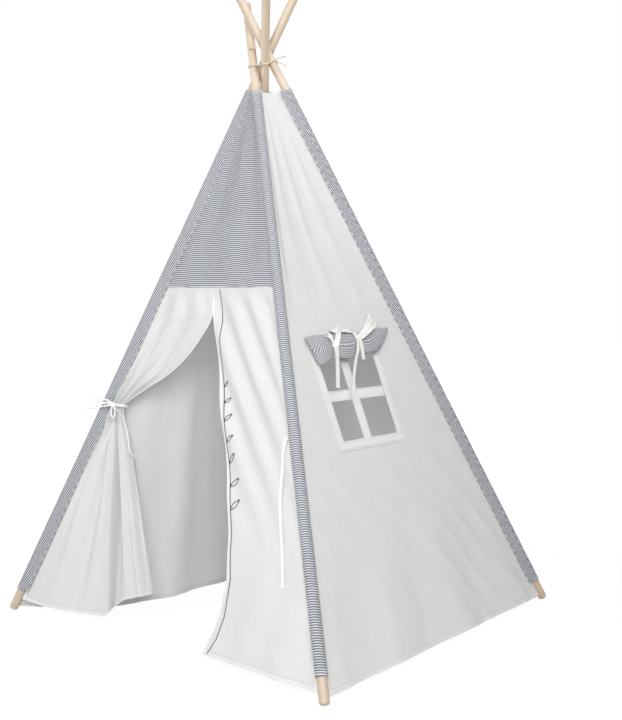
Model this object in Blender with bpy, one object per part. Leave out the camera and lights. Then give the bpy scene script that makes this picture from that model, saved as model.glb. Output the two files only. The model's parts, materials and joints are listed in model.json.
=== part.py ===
"""Child's teepee: four leaning wooden poles, a cotton cover sewn to pole sleeves, door flaps and a window."""
import math

import bmesh
import bpy
from mathutils import Matrix, Vector

# Driving sizes in metres, row frame: +Z up, door wall facing -Y, window wall facing +X

pole_length = 1.80
pole_diameter = 0.022
base_width = 1.04
base_depth = 0.96
hinge_height = 1.42
apex_shift_x = -0.048
apex_shift_y = -0.016
cloth_thickness = 0.001
tape_thickness = 0.001
touch_gap = 0.0003
weld_gap = 0.00001

# Poles: side of X, side of Y, then the crossing point in plan as shares of the pole diameter

POLES = {
    "front_right": (1, -1, -1.00, -0.70),
    "back_right": (1, 1, 0.94, 0.62),
    "back_left": (-1, 1, 0.70, -0.54),
    "front_left": (-1, -1, -0.66, 0.60),
}
pole_radius = pole_diameter / 2
end_flat_share = 0.45
section_bevel_share = 0.08
foot_cut_depth = 0.0005
section_gap = touch_gap
round_segments = 32

# Ferrule and sleeve fit round the pole

ferrule_wall = 0.0008
ferrule_length = 0.09
ferrule_inner = pole_radius + touch_gap
ferrule_outer = ferrule_inner + ferrule_wall
casing_wall = 0.0008
casing_inner = ferrule_outer + touch_gap
casing_outer = casing_inner + casing_wall
casing_hem = 0.0004
casing_hem_length = 0.012
casing_bottom_height = 0.052
casing_top_height = hinge_height - 0.068

# Cord holes and lashing

hole_diameter = 0.0046
hole_above_hinge = 0.042
HOLE_BEARING_DEG = {"front_right": -70.5, "back_right": 160.0, "back_left": 38.9, "front_left": 10.6}
cord_diameter = 0.0034
cord_radius = cord_diameter / 2
thread_diameter = 0.003
thread_radius = thread_diameter / 2
RING_DROP = {"front_right": 0.007, "back_right": -0.008, "back_left": 0.007, "front_left": 0.0}
ring_steps = 64

# Heights of the cover

wall_top = hinge_height - 0.070
wall_hem = 0.012
header_seam = 0.842
flap_tuck = 0.010

# Window, as Y and Z on the window wall

window_left = -0.160
window_right = 0.054
window_bottom = 0.482
window_top = 0.727
facing_width = 0.021
facing_top = 0.722
bar_left = -0.078
bar_width = 0.029
cross_bottom = 0.5735
cross_width = 0.0235
bar_tuck = 0.012

# Left flap pinch

pinch_height = 0.537
pinch_width = 0.042
pinch_amplitude = 0.0065
pinch_folds = 3

# Rolled blind in Y, top Z, bottom Z, depth and bow away from the wall

blind_axis_height = 0.736
BLIND = (
    (-0.205, 0.7230, 0.6540, 0.0075, 0.0006),
    (-0.190, 0.7240, 0.6520, 0.0130, 0.0003),
    (-0.165, 0.7245, 0.6530, 0.0200, 0.0000),
    (-0.145, 0.7245, 0.6570, 0.0225, 0.0000),
    (-0.128, 0.7242, 0.6620, 0.0205, 0.0012),
    (-0.113, 0.7235, 0.6690, 0.0180, 0.0020),
    (-0.098, 0.7242, 0.6640, 0.0205, 0.0012),
    (-0.083, 0.7250, 0.6610, 0.0235, 0.0000),
    (-0.065, 0.7255, 0.6590, 0.0240, 0.0000),
    (-0.048, 0.7250, 0.6620, 0.0230, 0.0002),
    (-0.033, 0.7242, 0.6690, 0.0205, 0.0012),
    (-0.018, 0.7235, 0.6760, 0.0180, 0.0020),
    (-0.003, 0.7250, 0.6730, 0.0205, 0.0018),
    (0.015, 0.7275, 0.6700, 0.0240, 0.0010),
    (0.045, 0.7300, 0.6700, 0.0250, 0.0010),
    (0.075, 0.7320, 0.6750, 0.0230, 0.0030),
    (0.100, 0.7335, 0.6860, 0.0180, 0.0050),
    (0.118, 0.7340, 0.7000, 0.0120, 0.0065),
    (0.128, 0.7340, 0.7140, 0.0070, 0.0075),
)
TIED = (5, 11)
blind_round = 24
oval_power = 0.8
knot_angle = math.radians(30.0)
blind_crease = 0.05
blind_crease_waves = 6
tape_width = 0.011
tape_fit = 0.0003
tie_hold_share = 0.6
tie_hold = tape_width * tie_hold_share
blind_out_factor = 1.1
face_lift = touch_gap + cloth_thickness
blind_stand = touch_gap + face_lift

# Window wall: ripples over the hem and puckers over the window

ripple_height = 0.40
ripple_size = 0.004
ripple_waves = 3.5
pucker_size = 0.003
pucker_reach = 0.30
pucker_waves = 4
pucker_onset = 4

# Slack of the rear wall and the side wall

rear_sag = 0.06
side_sag = 0.255
side_sag_top = 0.85
side_power = 3.5
rear_power = 2.4
side_hem = 0.006
sag_clearance = touch_gap + cloth_thickness
rear_clearance = 2 * touch_gap
fold_size = 0.006
rear_folds = 4
side_folds = 5

# Right flap: fold line and free edge, X as shares of half the base width

half_width = base_width / 2
half_depth = base_depth / 2
fold_top_share = -0.04808
fold_bottom_share = 0.7404
flap_hem = 0.02
FREE_EDGE = ((-0.0981, 1.000), (-0.0135, 0.907), (0.1231, 0.700), (0.2808, 0.461), (0.3462, 0.320),
             (0.3769, 0.206), (0.3654, 0.110), (0.3365, 0.045), (0.3077, 0.000))
corner_pull = 0.018
corner_onset = 3
flap_waves = 1.5
sewn_ripple = 0.003
sewn_normal_share = 0.8
loose_ripple = 0.004
loose_onset = 1.2
loose_normal_share = 0.6

# Left flap: free edge above the bunch (share down, X share, Z, set back) and hem (X share, Y share, Z)

meet_gap = 0.001
meet_low_height = 0.778
meet_share = 0.25
MEET_SHARES = (0.0, 0.083, 0.167, meet_share)
UPPER_FREE = ((0.333, -0.0865, 0.752, 0.003), (0.5, -0.1923, 0.698, 0.006), (0.667, -0.3077, 0.647, 0.008),
              (0.833, -0.4269, 0.595, 0.009))
HEM = ((-0.9558, -0.9708, 0.030), (-0.8846, -0.9625, 0.024), (-0.8077, -0.9479, 0.020),
       (-0.7154, -0.9167, 0.017), (-0.6346, -0.8854, 0.015), (-0.5577, -0.8500, 0.013),
       (-0.5038, -0.8167, 0.012), (-0.4923, -0.7750, 0.020), (-0.5038, -0.7333, 0.030),
       (-0.4692, -0.7125, 0.042), (-0.4327, -0.6979, 0.050), (-0.3981, -0.6854, 0.056),
       (-0.3654, -0.6771, 0.060), (-0.3500, -0.6500, 0.063), (-0.3385, -0.6250, 0.065))
hem_gather = 0.008
pinch_half = 0.007
pinch_start_rise = 6
pinch_end_rise = 8
pinch_end_rest = 0.35
pinch_back_rise = 5
gather_power = 1.5
pleat_fall = 1.6

# Knots, loops and tails of the tapes; loop points run across, up and out from the knot

knot_size = 0.013
knot_depth = 0.008
loop_width_share = 0.8
tail_points = 3
LEFT_LOOPS = (
    ((0.000, 0.0030, 0.0060), (0.002, 0.026, 0.0100), (0.004, 0.042, 0.0085)),
    ((0.001, -0.0030, 0.0040), (-0.004, -0.040, 0.0040), (-0.014, -0.075, 0.0000), (-0.024, -0.104, -0.0040)),
)
RIGHT_LOOPS = (
    ((0.0020, 0.0020, 0.0055), (0.036, 0.030, 0.0110), (0.062, 0.050, 0.0120)),
    ((-0.0010, -0.0030, 0.0035), (-0.014, -0.045, 0.0040), (-0.034, -0.085, -0.0060),
     (-0.052, -0.126, -0.0140)),
    ((0.0020, -0.0030, 0.0060), (0.010, -0.030, 0.0070), (0.012, -0.048, 0.0050)),
)
DOOR_LOOPS = (
    ((0.005, 0.0055, 0.0035), (-0.018, 0.0180, 0.010), (-0.044, 0.0180, 0.016)),
    ((0.005, 0.0050, -0.0035), (-0.020, 0.0170, -0.004), (-0.052, 0.0170, -0.006), (-0.086, 0.0150, -0.011)),
    ((0.007, 0.0050, -0.0040), (0.008, 0.0120, -0.026), (0.012, 0.0120, -0.050)),
)
tie_width = 0.010
band_slack = 0.004
band_start = 0.006
band_round = 0.003
BAND_SHARES = (0.45, 0.35, 0.5)

# Tape that hangs beside the right pole

tie_ease = 0.0008
tie_bow = 0.002
tie_top_height = 0.505
tie_bottom_height = 0.195
tie_bottom_share = 0.6635

# Lashing: bearing of its knot, its clearance and its tails as level, sideways and upright steps

ring_clearance = 3 * touch_gap
knot_bearing = math.radians(5.0)
FIRST_TAIL = ((0.022, -0.016, -0.020), (0.012, -0.009, -0.012), (0.005, -0.005, -0.004))
LAST_TAIL = ((0.005, 0.005, 0.003), (0.012, 0.010, 0.010), (0.016, 0.015, 0.020))
knot_swell = 2.2
knot_half_share = 0.8
HOLE_SHARES = (-0.6, 0.0, 0.6, 1.0)
SPAN_SHARES = (0.25, 0.5, 0.75)

# Rows and columns of the cloth

end_steps = 5
low_wall_rows = 6
pane_rows = 6
high_wall_rows = 8
left_columns = 5
middle_columns = 6
right_columns = 6
facing_steps = 6
bar_steps = 10
bar_across_steps = 2
slack_low_rows = 9
slack_high_rows = 5
slack_columns = 18
header_steps = 10
sewn_rows_count = 12
sewn_columns = 6
loose_rows_count = 14
loose_columns = 8
left_columns_count = 20
top_rows = 12
low_rows = 14
hanging_steps = 8


def remove_everything():
    for obj in list(bpy.data.objects):
        bpy.data.objects.remove(obj, do_unlink=True)
    for mesh in list(bpy.data.meshes):
        bpy.data.meshes.remove(mesh)
    for mat in list(bpy.data.materials):
        bpy.data.materials.remove(mat)


def material(name, colour, roughness, metallic=0.0):
    mat = bpy.data.materials.new(name)
    mat.use_nodes = True
    shader = mat.node_tree.nodes["Principled BSDF"]
    shader.inputs["Base Color"].default_value = (*colour, 1.0)
    shader.inputs["Roughness"].default_value = roughness
    shader.inputs["Metallic"].default_value = metallic
    mat.diffuse_color = (*colour, 1.0)
    return mat


remove_everything()

WOOD = (0.76, 0.60, 0.42)
COTTON = (0.86, 0.86, 0.84)
STRIPE = (0.36, 0.38, 0.46)
TAPE = (0.88, 0.88, 0.85)
CORD = (0.80, 0.76, 0.66)
ALUMINIUM = (0.72, 0.73, 0.75)


# Frames of the poles

def smooth(value):
    value = min(1.0, max(0.0, value))
    return value * value * (3 - 2 * value)


class Pole:
    """Straight line of one pole: foot point on the floor, crossing point, and the axes of its own frame."""

    def __init__(self, name):
        side_x, side_y, share_x, share_y = POLES[name]
        self.name = name
        self.foot = Vector((side_x * base_width / 2, side_y * base_depth / 2, 0.0))
        self.hinge = Vector((apex_shift_x + pole_diameter * share_x,
                             apex_shift_y + pole_diameter * share_y, hinge_height))
        run = self.hinge - self.foot
        self.reach = run.length
        self.up = run.normalized()
        self.inward = Vector((run.x, run.y, 0.0)).normalized()
        self.turn = self.inward.cross(Vector((0, 0, 1)))
        self.lean = math.acos(self.up.z)
        out = self.turn.cross(self.up)
        self.frame = Matrix((out, self.turn, self.up)).transposed().to_4x4()
        self.frame.translation = self.hinge
        flat = end_flat_share * pole_radius * math.sin(self.lean)
        arc = (1 - end_flat_share) * pole_radius
        self.end = -self.reach + (flat + arc - foot_cut_depth) / math.cos(self.lean) - arc

    def at(self, height):
        return self.foot + self.up * (height / self.up.z)

    def along(self, height):
        """Distance along the pole from the crossing point to a height."""
        return (height - hinge_height) / self.up.z


poles = {name: Pole(name) for name in POLES}


# Surfaces of the walls

def edge_trim(pole, across, clearance):
    """Level distance from the sleeve's middle line to the cloth edge beside it."""
    slope = pole.up.dot(across)
    return (casing_outer + casing_hem + clearance) / math.sqrt(1 - slope * slope)


class Wall:
    """Ruled surface between two sleeves, seen from outside with the first pole on the left."""

    def __init__(self, left, right):
        self.left = poles[left]
        self.right = poles[right]

    def ends(self, height, clearance=touch_gap):
        start = self.left.at(height)
        stop = self.right.at(height)
        across = (stop - start).normalized()
        first = start + across * edge_trim(self.left, across, clearance)
        last = stop - across * edge_trim(self.right, across, clearance)
        return first, last

    def normal(self, height, share):
        start = self.left.at(height)
        stop = self.right.at(height)
        climb = self.left.up.lerp(self.right.up, share)
        return (stop - start).cross(climb).normalized()

    def point(self, height, share, lift=0.0, clearance=touch_gap):
        first, last = self.ends(height, clearance)
        return first.lerp(last, share) + self.normal(height, share) * lift

    def share_of(self, axis, value, height):
        """Share across the wall at which a coordinate takes a value."""
        first, last = self.ends(height)
        return (value - first[axis]) / (last[axis] - first[axis])

    def at_coordinate(self, axis, value, height, lift=0.0):
        return self.point(height, self.share_of(axis, value, height), lift)


door_wall = Wall("front_left", "front_right")
window_wall = Wall("front_right", "back_right")
rear_wall = Wall("back_right", "back_left")
side_wall = Wall("back_left", "front_left")
AXIS_X, AXIS_Y = 0, 1


# Builders

def finish_object(name, bm, mat, pole=None):
    bmesh.ops.recalc_face_normals(bm, faces=bm.faces[:])
    mesh = bpy.data.meshes.new(name)
    bm.to_mesh(mesh)
    bm.free()
    mesh.materials.append(mat)
    obj = bpy.data.objects.new(name, mesh)
    bpy.context.collection.objects.link(obj)
    if pole is not None:
        obj.parent = pivots[pole]
    return obj


def add_pivot(pole):
    empty = bpy.data.objects.new("pivot_" + pole.name, None)
    bpy.context.collection.objects.link(empty)
    empty.matrix_world = pole.frame
    return empty


pivots = {name: add_pivot(pole) for name, pole in poles.items()}


def spun(profile):
    """Solid of revolution about local Z from a closed or axis-to-axis list of radius and height."""
    bm = bmesh.new()
    verts = [bm.verts.new((radius, 0.0, height)) for radius, height in profile]
    edges = [bm.edges.new(pair) for pair in zip(verts, verts[1:])]
    if profile[0][0] > 0:
        edges.append(bm.edges.new((verts[-1], verts[0])))
    bmesh.ops.spin(bm, geom=verts + edges, cent=(0, 0, 0), axis=(0, 0, 1),
                   angle=math.tau, steps=round_segments, use_merge=True)
    bmesh.ops.remove_doubles(bm, verts=bm.verts[:], dist=weld_gap)
    return bm


def rounded_end(height, direction):
    """Profile of a rounded pole end from the axis out to the full radius."""
    arc = (1 - end_flat_share) * pole_radius
    points = [(0.0, height), (pole_radius - arc, height)]
    for step in range(1, end_steps + 1):
        angle = math.pi / 2 * step / end_steps
        drop = direction * arc * (1 - math.cos(angle))
        points.append((pole_radius - arc + arc * math.sin(angle), height - drop))
    return points


def to_world(point, pole):
    return pole.frame @ Vector(point)


def add_pole_sections(name, pole):
    top = pole.end + pole_length
    middle = pole.end + pole_length / 2
    bevel = pole_radius * section_bevel_share
    low_profile = rounded_end(pole.end, -1)
    low_profile += [(pole_radius, middle - section_gap / 2 - bevel),
                    (pole_radius - bevel, middle - section_gap / 2), (0.0, middle - section_gap / 2)]
    bm = spun(low_profile)
    floor_point = pole.frame.inverted() @ Vector((pole.foot.x, pole.foot.y, 0.0))
    floor_normal = pole.frame.to_3x3().inverted() @ Vector((0, 0, -1))
    cut = bmesh.ops.bisect_plane(bm, geom=bm.verts[:] + bm.edges[:] + bm.faces[:], dist=weld_gap,
                                 plane_co=floor_point, plane_no=floor_normal, clear_outer=True)
    rim = [edge for edge in cut["geom_cut"] if isinstance(edge, bmesh.types.BMEdge)]
    flat = bmesh.ops.contextual_create(bm, geom=rim)["faces"]
    middle_point = to_world(flat[0].calc_center_median(), pole)
    print("foot flat", name, [round(value, 5) for value in middle_point], "area mm2",
          round(flat[0].calc_area() * 1e6, 2))
    finish_object("pole_" + name + "_lower", bm, wood, name)
    high_profile = [(0.0, middle + section_gap / 2), (pole_radius - bevel, middle + section_gap / 2),
                    (pole_radius, middle + section_gap / 2 + bevel)]
    high_profile += list(reversed(rounded_end(top, 1)))
    upper = finish_object("pole_" + name + "_upper", spun(high_profile), wood, name)
    bore(upper, name, pole)


def hole_direction(name, pole):
    bearing = math.radians(HOLE_BEARING_DEG[name])
    level = Vector((math.cos(bearing), math.sin(bearing), 0.0))
    return (level - pole.up * level.dot(pole.up)).normalized()


def bore(upper, name, pole):
    """Cross hole for the cord, above the lashing."""
    direction = hole_direction(name, pole)
    local = pole.frame.to_3x3().inverted() @ direction
    bm = bmesh.new()
    bmesh.ops.create_cone(bm, cap_ends=True, segments=round_segments // 2, radius1=hole_diameter / 2,
                          radius2=hole_diameter / 2, depth=pole_diameter * 2)
    turn = local.to_track_quat("Z", "Y").to_matrix().to_4x4()
    turn.translation = Vector((0, 0, hole_above_hinge))
    bmesh.ops.transform(bm, matrix=turn, verts=bm.verts[:])
    cutter = finish_object("cutter_hole_" + name, bm, wood, name)
    cutter.hide_render = True
    cutter.display_type = "WIRE"
    boolean = upper.modifiers.new("hole", "BOOLEAN")
    boolean.operation = "DIFFERENCE"
    boolean.solver = "EXACT"
    boolean.object = cutter


def add_ferrule(name, pole):
    middle = pole.end + pole_length / 2
    low = middle - ferrule_length / 2
    high = middle + ferrule_length / 2
    profile = [(ferrule_inner, low), (ferrule_outer, low), (ferrule_outer, high), (ferrule_inner, high)]
    finish_object("ferrule_" + name, spun(profile), metal, name)


def add_casing(name, pole):
    low = pole.along(casing_bottom_height)
    high = pole.along(casing_top_height)
    thick = casing_outer + casing_hem
    profile = [(casing_inner, low), (thick, low), (thick, low + casing_hem_length),
               (casing_outer, low + casing_hem_length + casing_hem),
               (casing_outer, high - casing_hem_length - casing_hem),
               (thick, high - casing_hem_length), (thick, high), (casing_inner, high)]
    finish_object("casing_" + name, spun(profile), stripe, name)


def sheet(name, rows, mat, keep=None, thickness=cloth_thickness):
    """Cloth from rows of outer-face points, bottom row first and left to right, thickened inward."""
    count_y = len(rows) - 1
    count_x = len(rows[0]) - 1
    bm = bmesh.new()
    bmesh.ops.create_grid(bm, x_segments=count_x, y_segments=count_y, size=0.5)
    for vert in bm.verts:
        column = round((vert.co.x + 0.5) * count_x)
        row = round((vert.co.y + 0.5) * count_y)
        vert.co.z = column + row * (count_x + 1)
    if keep is not None:
        waste = []
        for face in bm.faces:
            cells = [round(vert.co.z) for vert in face.verts]
            column = min(cell % (count_x + 1) for cell in cells)
            row = min(cell // (count_x + 1) for cell in cells)
            if not keep(column, row):
                waste.append(face)
        bmesh.ops.delete(bm, geom=waste, context="FACES")
    for vert in bm.verts:
        cell = round(vert.co.z)
        vert.co = rows[cell // (count_x + 1)][cell % (count_x + 1)]
    mesh = bpy.data.meshes.new(name)
    bm.to_mesh(mesh)
    bm.free()
    mesh.materials.append(mat)
    obj = bpy.data.objects.new(name, mesh)
    bpy.context.collection.objects.link(obj)
    solid = obj.modifiers.new("cloth", "SOLIDIFY")
    solid.thickness = thickness
    solid.offset = -1.0
    solid.use_even_offset = False
    solid.use_rim = True
    return obj


def swept(path, widths, width, thickness):
    """Flat tape along a path; each point has its own direction across the tape."""
    bm = bmesh.new()
    rings = []
    for index, (point, side) in enumerate(zip(path, widths)):
        before = path[max(index - 1, 0)]
        after = path[min(index + 1, len(path) - 1)]
        run = (after - before).normalized()
        side = (side - run * side.dot(run)).normalized()
        face = run.cross(side).normalized()
        corners = ((-0.5, -0.5), (0.5, -0.5), (0.5, 0.5), (-0.5, 0.5))
        rings.append([bm.verts.new(point + side * (width * a) + face * (thickness * b)) for a, b in corners])
    for low, high in zip(rings, rings[1:]):
        for index in range(4):
            other = (index + 1) % 4
            bm.faces.new((low[index], low[other], high[other], high[index]))
    bm.faces.new(list(reversed(rings[0])))
    bm.faces.new(rings[-1])
    return bm


def closed_band(path, side, width, thickness, outward):
    """Closed tape ring along a loop of points, with its outward direction at each point."""
    bm = bmesh.new()
    rings = []
    for point, out in zip(path, outward):
        corners = ((-0.5, 0.0), (0.5, 0.0), (0.5, 1.0), (-0.5, 1.0))
        rings.append([bm.verts.new(point + side * (width * a) + out * (thickness * b)) for a, b in corners])
    count = len(rings)
    for index in range(count):
        low = rings[index]
        high = rings[(index + 1) % count]
        for corner in range(4):
            other = (corner + 1) % 4
            bm.faces.new((low[corner], low[other], high[other], high[corner]))
    return bm


def block(centre, axes, sizes, bevel):
    """Rounded block for a knot."""
    bm = bmesh.new()
    made = bmesh.ops.create_cube(bm, size=1.0)
    verts = made["verts"]
    basis = Matrix([axis * size for axis, size in zip(axes, sizes)]).transposed().to_4x4()
    basis.translation = centre
    bmesh.ops.transform(bm, matrix=basis, verts=verts)
    edges = list({edge for vert in verts for edge in vert.link_edges})
    bmesh.ops.bevel(bm, geom=edges, offset=bevel, segments=2, affect="EDGES", profile=0.5, material=-1)
    return bm


def joined(name, base, extras, mat):
    """One body from a knot and the tapes that run into it."""
    obj = finish_object(name, base, mat)
    for number, extra in enumerate(extras):
        cutter = finish_object("cutter_" + name + "_" + str(number), extra, mat)
        cutter.hide_render = True
        cutter.display_type = "WIRE"
        union = obj.modifiers.new("tape", "BOOLEAN")
        union.operation = "UNION"
        union.solver = "EXACT"
        union.object = cutter
    return obj


def curve_through(points, count):
    """Evenly numbered points on a smooth curve through a few stations."""
    out = []
    spans = len(points) - 1
    for step in range(count + 1):
        place = step / count * spans
        index = min(int(place), spans - 1)
        local = place - index
        p0 = points[max(index - 1, 0)]
        p1 = points[index]
        p2 = points[index + 1]
        p3 = points[min(index + 2, spans)]
        a = p1 * 2
        b = (p2 - p0) * local
        c = (p0 * 2 - p1 * 5 + p2 * 4 - p3) * (local ** 2)
        d = (p1 * 3 - p0 - p2 * 3 + p3) * (local ** 3)
        out.append((a + b + c + d) / 2)
    return out


def add_cord(name, points, radius, mat, swell=None):
    curve = bpy.data.curves.new(name, "CURVE")
    curve.dimensions = "3D"
    curve.bevel_depth = radius
    curve.bevel_resolution = 2
    curve.use_fill_caps = True
    spline = curve.splines.new("POLY")
    spline.points.add(len(points) - 1)
    for index, point in enumerate(points):
        spline.points[index].co = (*point, 1.0)
        spline.points[index].radius = 1.0 if swell is None else swell[index]
    curve.materials.append(mat)
    obj = bpy.data.objects.new(name, curve)
    bpy.context.collection.objects.link(obj)
    return obj


def length_of(points):
    return sum((b - a).length for a, b in zip(points, points[1:]))


def least_gap(points, radius, skip):
    """Least clear distance between two stretches of one cord, measured between its points."""
    best = 1.0
    for first in range(len(points)):
        for second in range(first + skip, len(points)):
            best = min(best, (points[first] - points[second]).length)
    return best - 2 * radius


wood = material("wood", WOOD, 0.55)
metal = material("ferrule", ALUMINIUM, 0.35, 1.0)
stripe = material("striped_cotton", STRIPE, 0.9)
cotton = material("white_cotton", COTTON, 0.9)
tape = material("cotton_tape", TAPE, 0.9)
rope = material("cotton_cord", CORD, 0.9)

# Poles, ferrules and sleeves

for pole_name, pole_line in poles.items():
    add_pole_sections(pole_name, pole_line)
    add_ferrule(pole_name, pole_line)
    add_casing(pole_name, pole_line)
    print("pole", pole_name, "lean deg", round(math.degrees(pole_line.lean), 3), "hinge",
          [round(value, 5) for value in pole_line.hinge], "axis",
          [round(value, 6) for value in pole_line.turn], "reach", round(pole_line.reach, 4))

# Window wall: taut panel with the window cut out

def window_share(column_y, height):
    held = min(window_top, max(window_bottom, height))
    return window_wall.share_of(AXIS_Y, column_y, held)


def window_lift(share, height):
    low = ripple_size * (1 - smooth(height / ripple_height)) * math.sin(math.tau * ripple_waves * share)
    over = max(0.0, (height - window_top) / pucker_reach)
    fade = smooth(over * pucker_onset) * (1 - smooth(over))
    high = pucker_size * fade * math.sin(math.tau * pucker_waves * share)
    return (low + high) * math.sin(math.pi * share)


def levels(*stops):
    """Heights through the given stops: pairs of a height and the number of rows up to the next."""
    heights = []
    for (low, count), (high, _) in zip(stops, stops[1:]):
        heights += [low + (high - low) * step / count for step in range(count)]
    heights.append(stops[-1][0])
    return heights


window_heights = levels((wall_hem, low_wall_rows), (window_bottom, pane_rows), (window_top, high_wall_rows),
                        (wall_top, 0))
window_rows = []
for height in window_heights:
    share_a = window_share(window_left, height)
    share_b = window_share(window_right, height)
    shares = [share_a * step / left_columns for step in range(left_columns)]
    shares += [share_a + (share_b - share_a) * step / middle_columns for step in range(middle_columns)]
    shares += [share_b + (1 - share_b) * step / right_columns for step in range(right_columns + 1)]
    window_rows.append([window_wall.point(height, share, window_lift(share, height)) for share in shares])
sheet("wall_window", window_rows, cotton,
      lambda column, row: not (left_columns <= column < left_columns + middle_columns
                               and low_wall_rows <= row < low_wall_rows + pane_rows))

# Facing round the window and its two glazing bars, on the outside and the inside of the wall

bar_lift = -cloth_thickness - touch_gap
cross_lift = bar_lift - cloth_thickness - touch_gap


def window_patch(ys, heights, lift):
    return [[window_wall.at_coordinate(AXIS_Y, y, height, lift) for y in ys] for height in heights]


def spread(low, high, count):
    return [low + (high - low) * step / count for step in range(count + 1)]


facing_ys = [window_left - facing_width]
facing_ys += spread(window_left, window_right, facing_steps) + [window_right + facing_width]
facing_zs = [window_bottom - facing_width] + spread(window_bottom, facing_top, facing_steps)
sheet("window_facing", window_patch(facing_ys, facing_zs, face_lift), cotton,
      lambda column, row: not (1 <= column <= facing_steps and row >= 1))
upright_ys = spread(bar_left, bar_left + bar_width, bar_across_steps)
upright_zs = spread(window_bottom - bar_tuck, window_top + bar_tuck, bar_steps)
sheet("window_bar_upright", window_patch(upright_ys, upright_zs, bar_lift), cotton)
cross_ys = spread(window_left - bar_tuck, window_right + bar_tuck, bar_steps)
cross_zs = spread(cross_bottom, cross_bottom + cross_width, bar_across_steps)
sheet("window_bar_cross", window_patch(cross_ys, cross_zs, cross_lift), cotton)

# Rear wall and side wall: slack panels that hang inward between the poles

def slack_rows(wall, sag, top, power, hem, folds, clearance):
    rows = []
    heights = levels((hem, slack_low_rows), (top, slack_high_rows), (wall_top, 0))
    for height in heights:
        row = []
        slack = sag * max(0.0, 1 - (height - hem) / (top - hem))
        for step in range(slack_columns + 1):
            share = step / slack_columns
            spread_in = 1 - abs(2 * share - 1) ** power
            wave = fold_size * math.sin(math.tau * folds * share) * math.sin(math.pi * share)
            depth = slack * spread_in + wave * smooth(1 - (height - hem) / (top - hem))
            base = wall.point(height, share, 0.0, clearance)
            level_out = wall.normal(height, share)
            level_out = Vector((level_out.x, level_out.y, 0.0)).normalized()
            row.append(base - level_out * depth)
        rows.append(row)
    return rows


sheet("wall_back", slack_rows(rear_wall, rear_sag, side_sag_top, rear_power, side_hem, rear_folds,
                              rear_clearance), cotton)
sheet("wall_left", slack_rows(side_wall, side_sag, side_sag_top, side_power, side_hem, side_folds,
                              sag_clearance), cotton)

# Header over the doorway

header_heights = levels((header_seam, header_steps), (wall_top, 0))
header_shares = [step / header_steps for step in range(header_steps + 1)]
header_rows = [[door_wall.point(height, share) for share in header_shares] for height in header_heights]
sheet("header_panel", header_rows, stripe)

# Right flap: sewn strip beside the pole and loose leaf on a straight fold line

flap_lift = -cloth_thickness - touch_gap
fold_top_x = half_width * fold_top_share
fold_bottom_x = half_width * fold_bottom_share
fold_top = door_wall.at_coordinate(AXIS_X, fold_top_x, header_seam, flap_lift)
fold_bottom = door_wall.at_coordinate(AXIS_X, fold_bottom_x, flap_hem, flap_lift)
fold_gap = touch_gap / 2
print("flap hinge top", [round(value, 5) for value in fold_top],
      "bottom", [round(value, 5) for value in fold_bottom])


def fold_point(height):
    share = (height - flap_hem) / (header_seam - flap_hem)
    return fold_bottom.lerp(fold_top, share)


sewn_rows = []
for height in levels((flap_hem, sewn_rows_count), (header_seam, 1), (header_seam + flap_tuck, 0)):
    inner = fold_point(min(height, header_seam))
    if height > header_seam:
        inner = door_wall.at_coordinate(AXIS_X, fold_top_x, height, flap_lift)
    edge = door_wall.point(height, 1.0, flap_lift)
    inner = inner + (edge - inner).normalized() * fold_gap
    row = []
    for step in range(sewn_columns + 1):
        share = step / sewn_columns
        ripple = sewn_ripple * math.sin(math.tau * flap_waves * share) * math.sin(math.pi * share)
        ripple *= 1 - smooth(height / header_seam)
        row.append(inner.lerp(edge, share) + door_wall.normal(height, sewn_normal_share) * ripple)
    sewn_rows.append(row)
sheet("door_flap_right_sewn", sewn_rows, cotton)

loose_top = header_seam - touch_gap


def free_edge(level):
    """Free edge of the loose leaf at a share of its height, between the stations of its table."""
    for (x_high, s_high), (x_low, s_low) in zip(FREE_EDGE, FREE_EDGE[1:]):
        if level >= s_low:
            part = (level - s_low) / (s_high - s_low)
            return half_width * (x_low + (x_high - x_low) * part)
    return half_width * FREE_EDGE[-1][0]


loose_rows = []
for height in levels((flap_hem, loose_rows_count), (loose_top, 0)):
    level = (height - flap_hem) / (loose_top - flap_hem)
    inner = fold_point(height)
    free = door_wall.at_coordinate(AXIS_X, free_edge(level), height, flap_lift)
    free = free + Vector((0, corner_pull * (1 - smooth(level * corner_onset)), 0))
    inner = inner + (free - inner).normalized() * fold_gap
    row = []
    for step in range(loose_columns + 1):
        share = step / loose_columns
        ripple = loose_ripple * math.sin(math.tau * flap_waves * share) * math.sin(math.pi * share)
        ripple *= 1 - smooth(level * loose_onset)
        row.append(free.lerp(inner, share) + door_wall.normal(height, loose_normal_share) * ripple)
    loose_rows.append(row)
sheet("door_flap_right_loose", loose_rows, cotton)

# Left flap: gathered to a bunch beside its pole, then falling open to the hem

left_pole = poles["front_left"]
door_across = (door_wall.right.at(pinch_height) - door_wall.left.at(pinch_height)).normalized()
door_out = door_wall.normal(pinch_height, 0.0)
door_climb = door_out.cross(door_across).normalized()
pinch_start = door_wall.point(pinch_height, 0.0, flap_lift, sag_clearance)
left_top = header_seam + flap_tuck


def pinch_point(share):
    width = pinch_width * share
    phase = share * pinch_folds
    swing = pinch_amplitude * math.sin(math.tau * phase)
    swing *= smooth(share * pinch_start_rise) * smooth((1 - share) * pinch_end_rise + pinch_end_rest)
    set_back = pinch_amplitude * smooth(share * pinch_back_rise)
    return pinch_start + door_across * width + door_out * (swing - set_back)


pinch_row = [pinch_point(step / left_columns_count) for step in range(left_columns_count + 1)]
pinch_step = left_pole.up * (pinch_half / left_pole.up.z)
pinch_high = [spot + pinch_step for spot in pinch_row]
pinch_low = [spot - pinch_step for spot in pinch_row]


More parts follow.
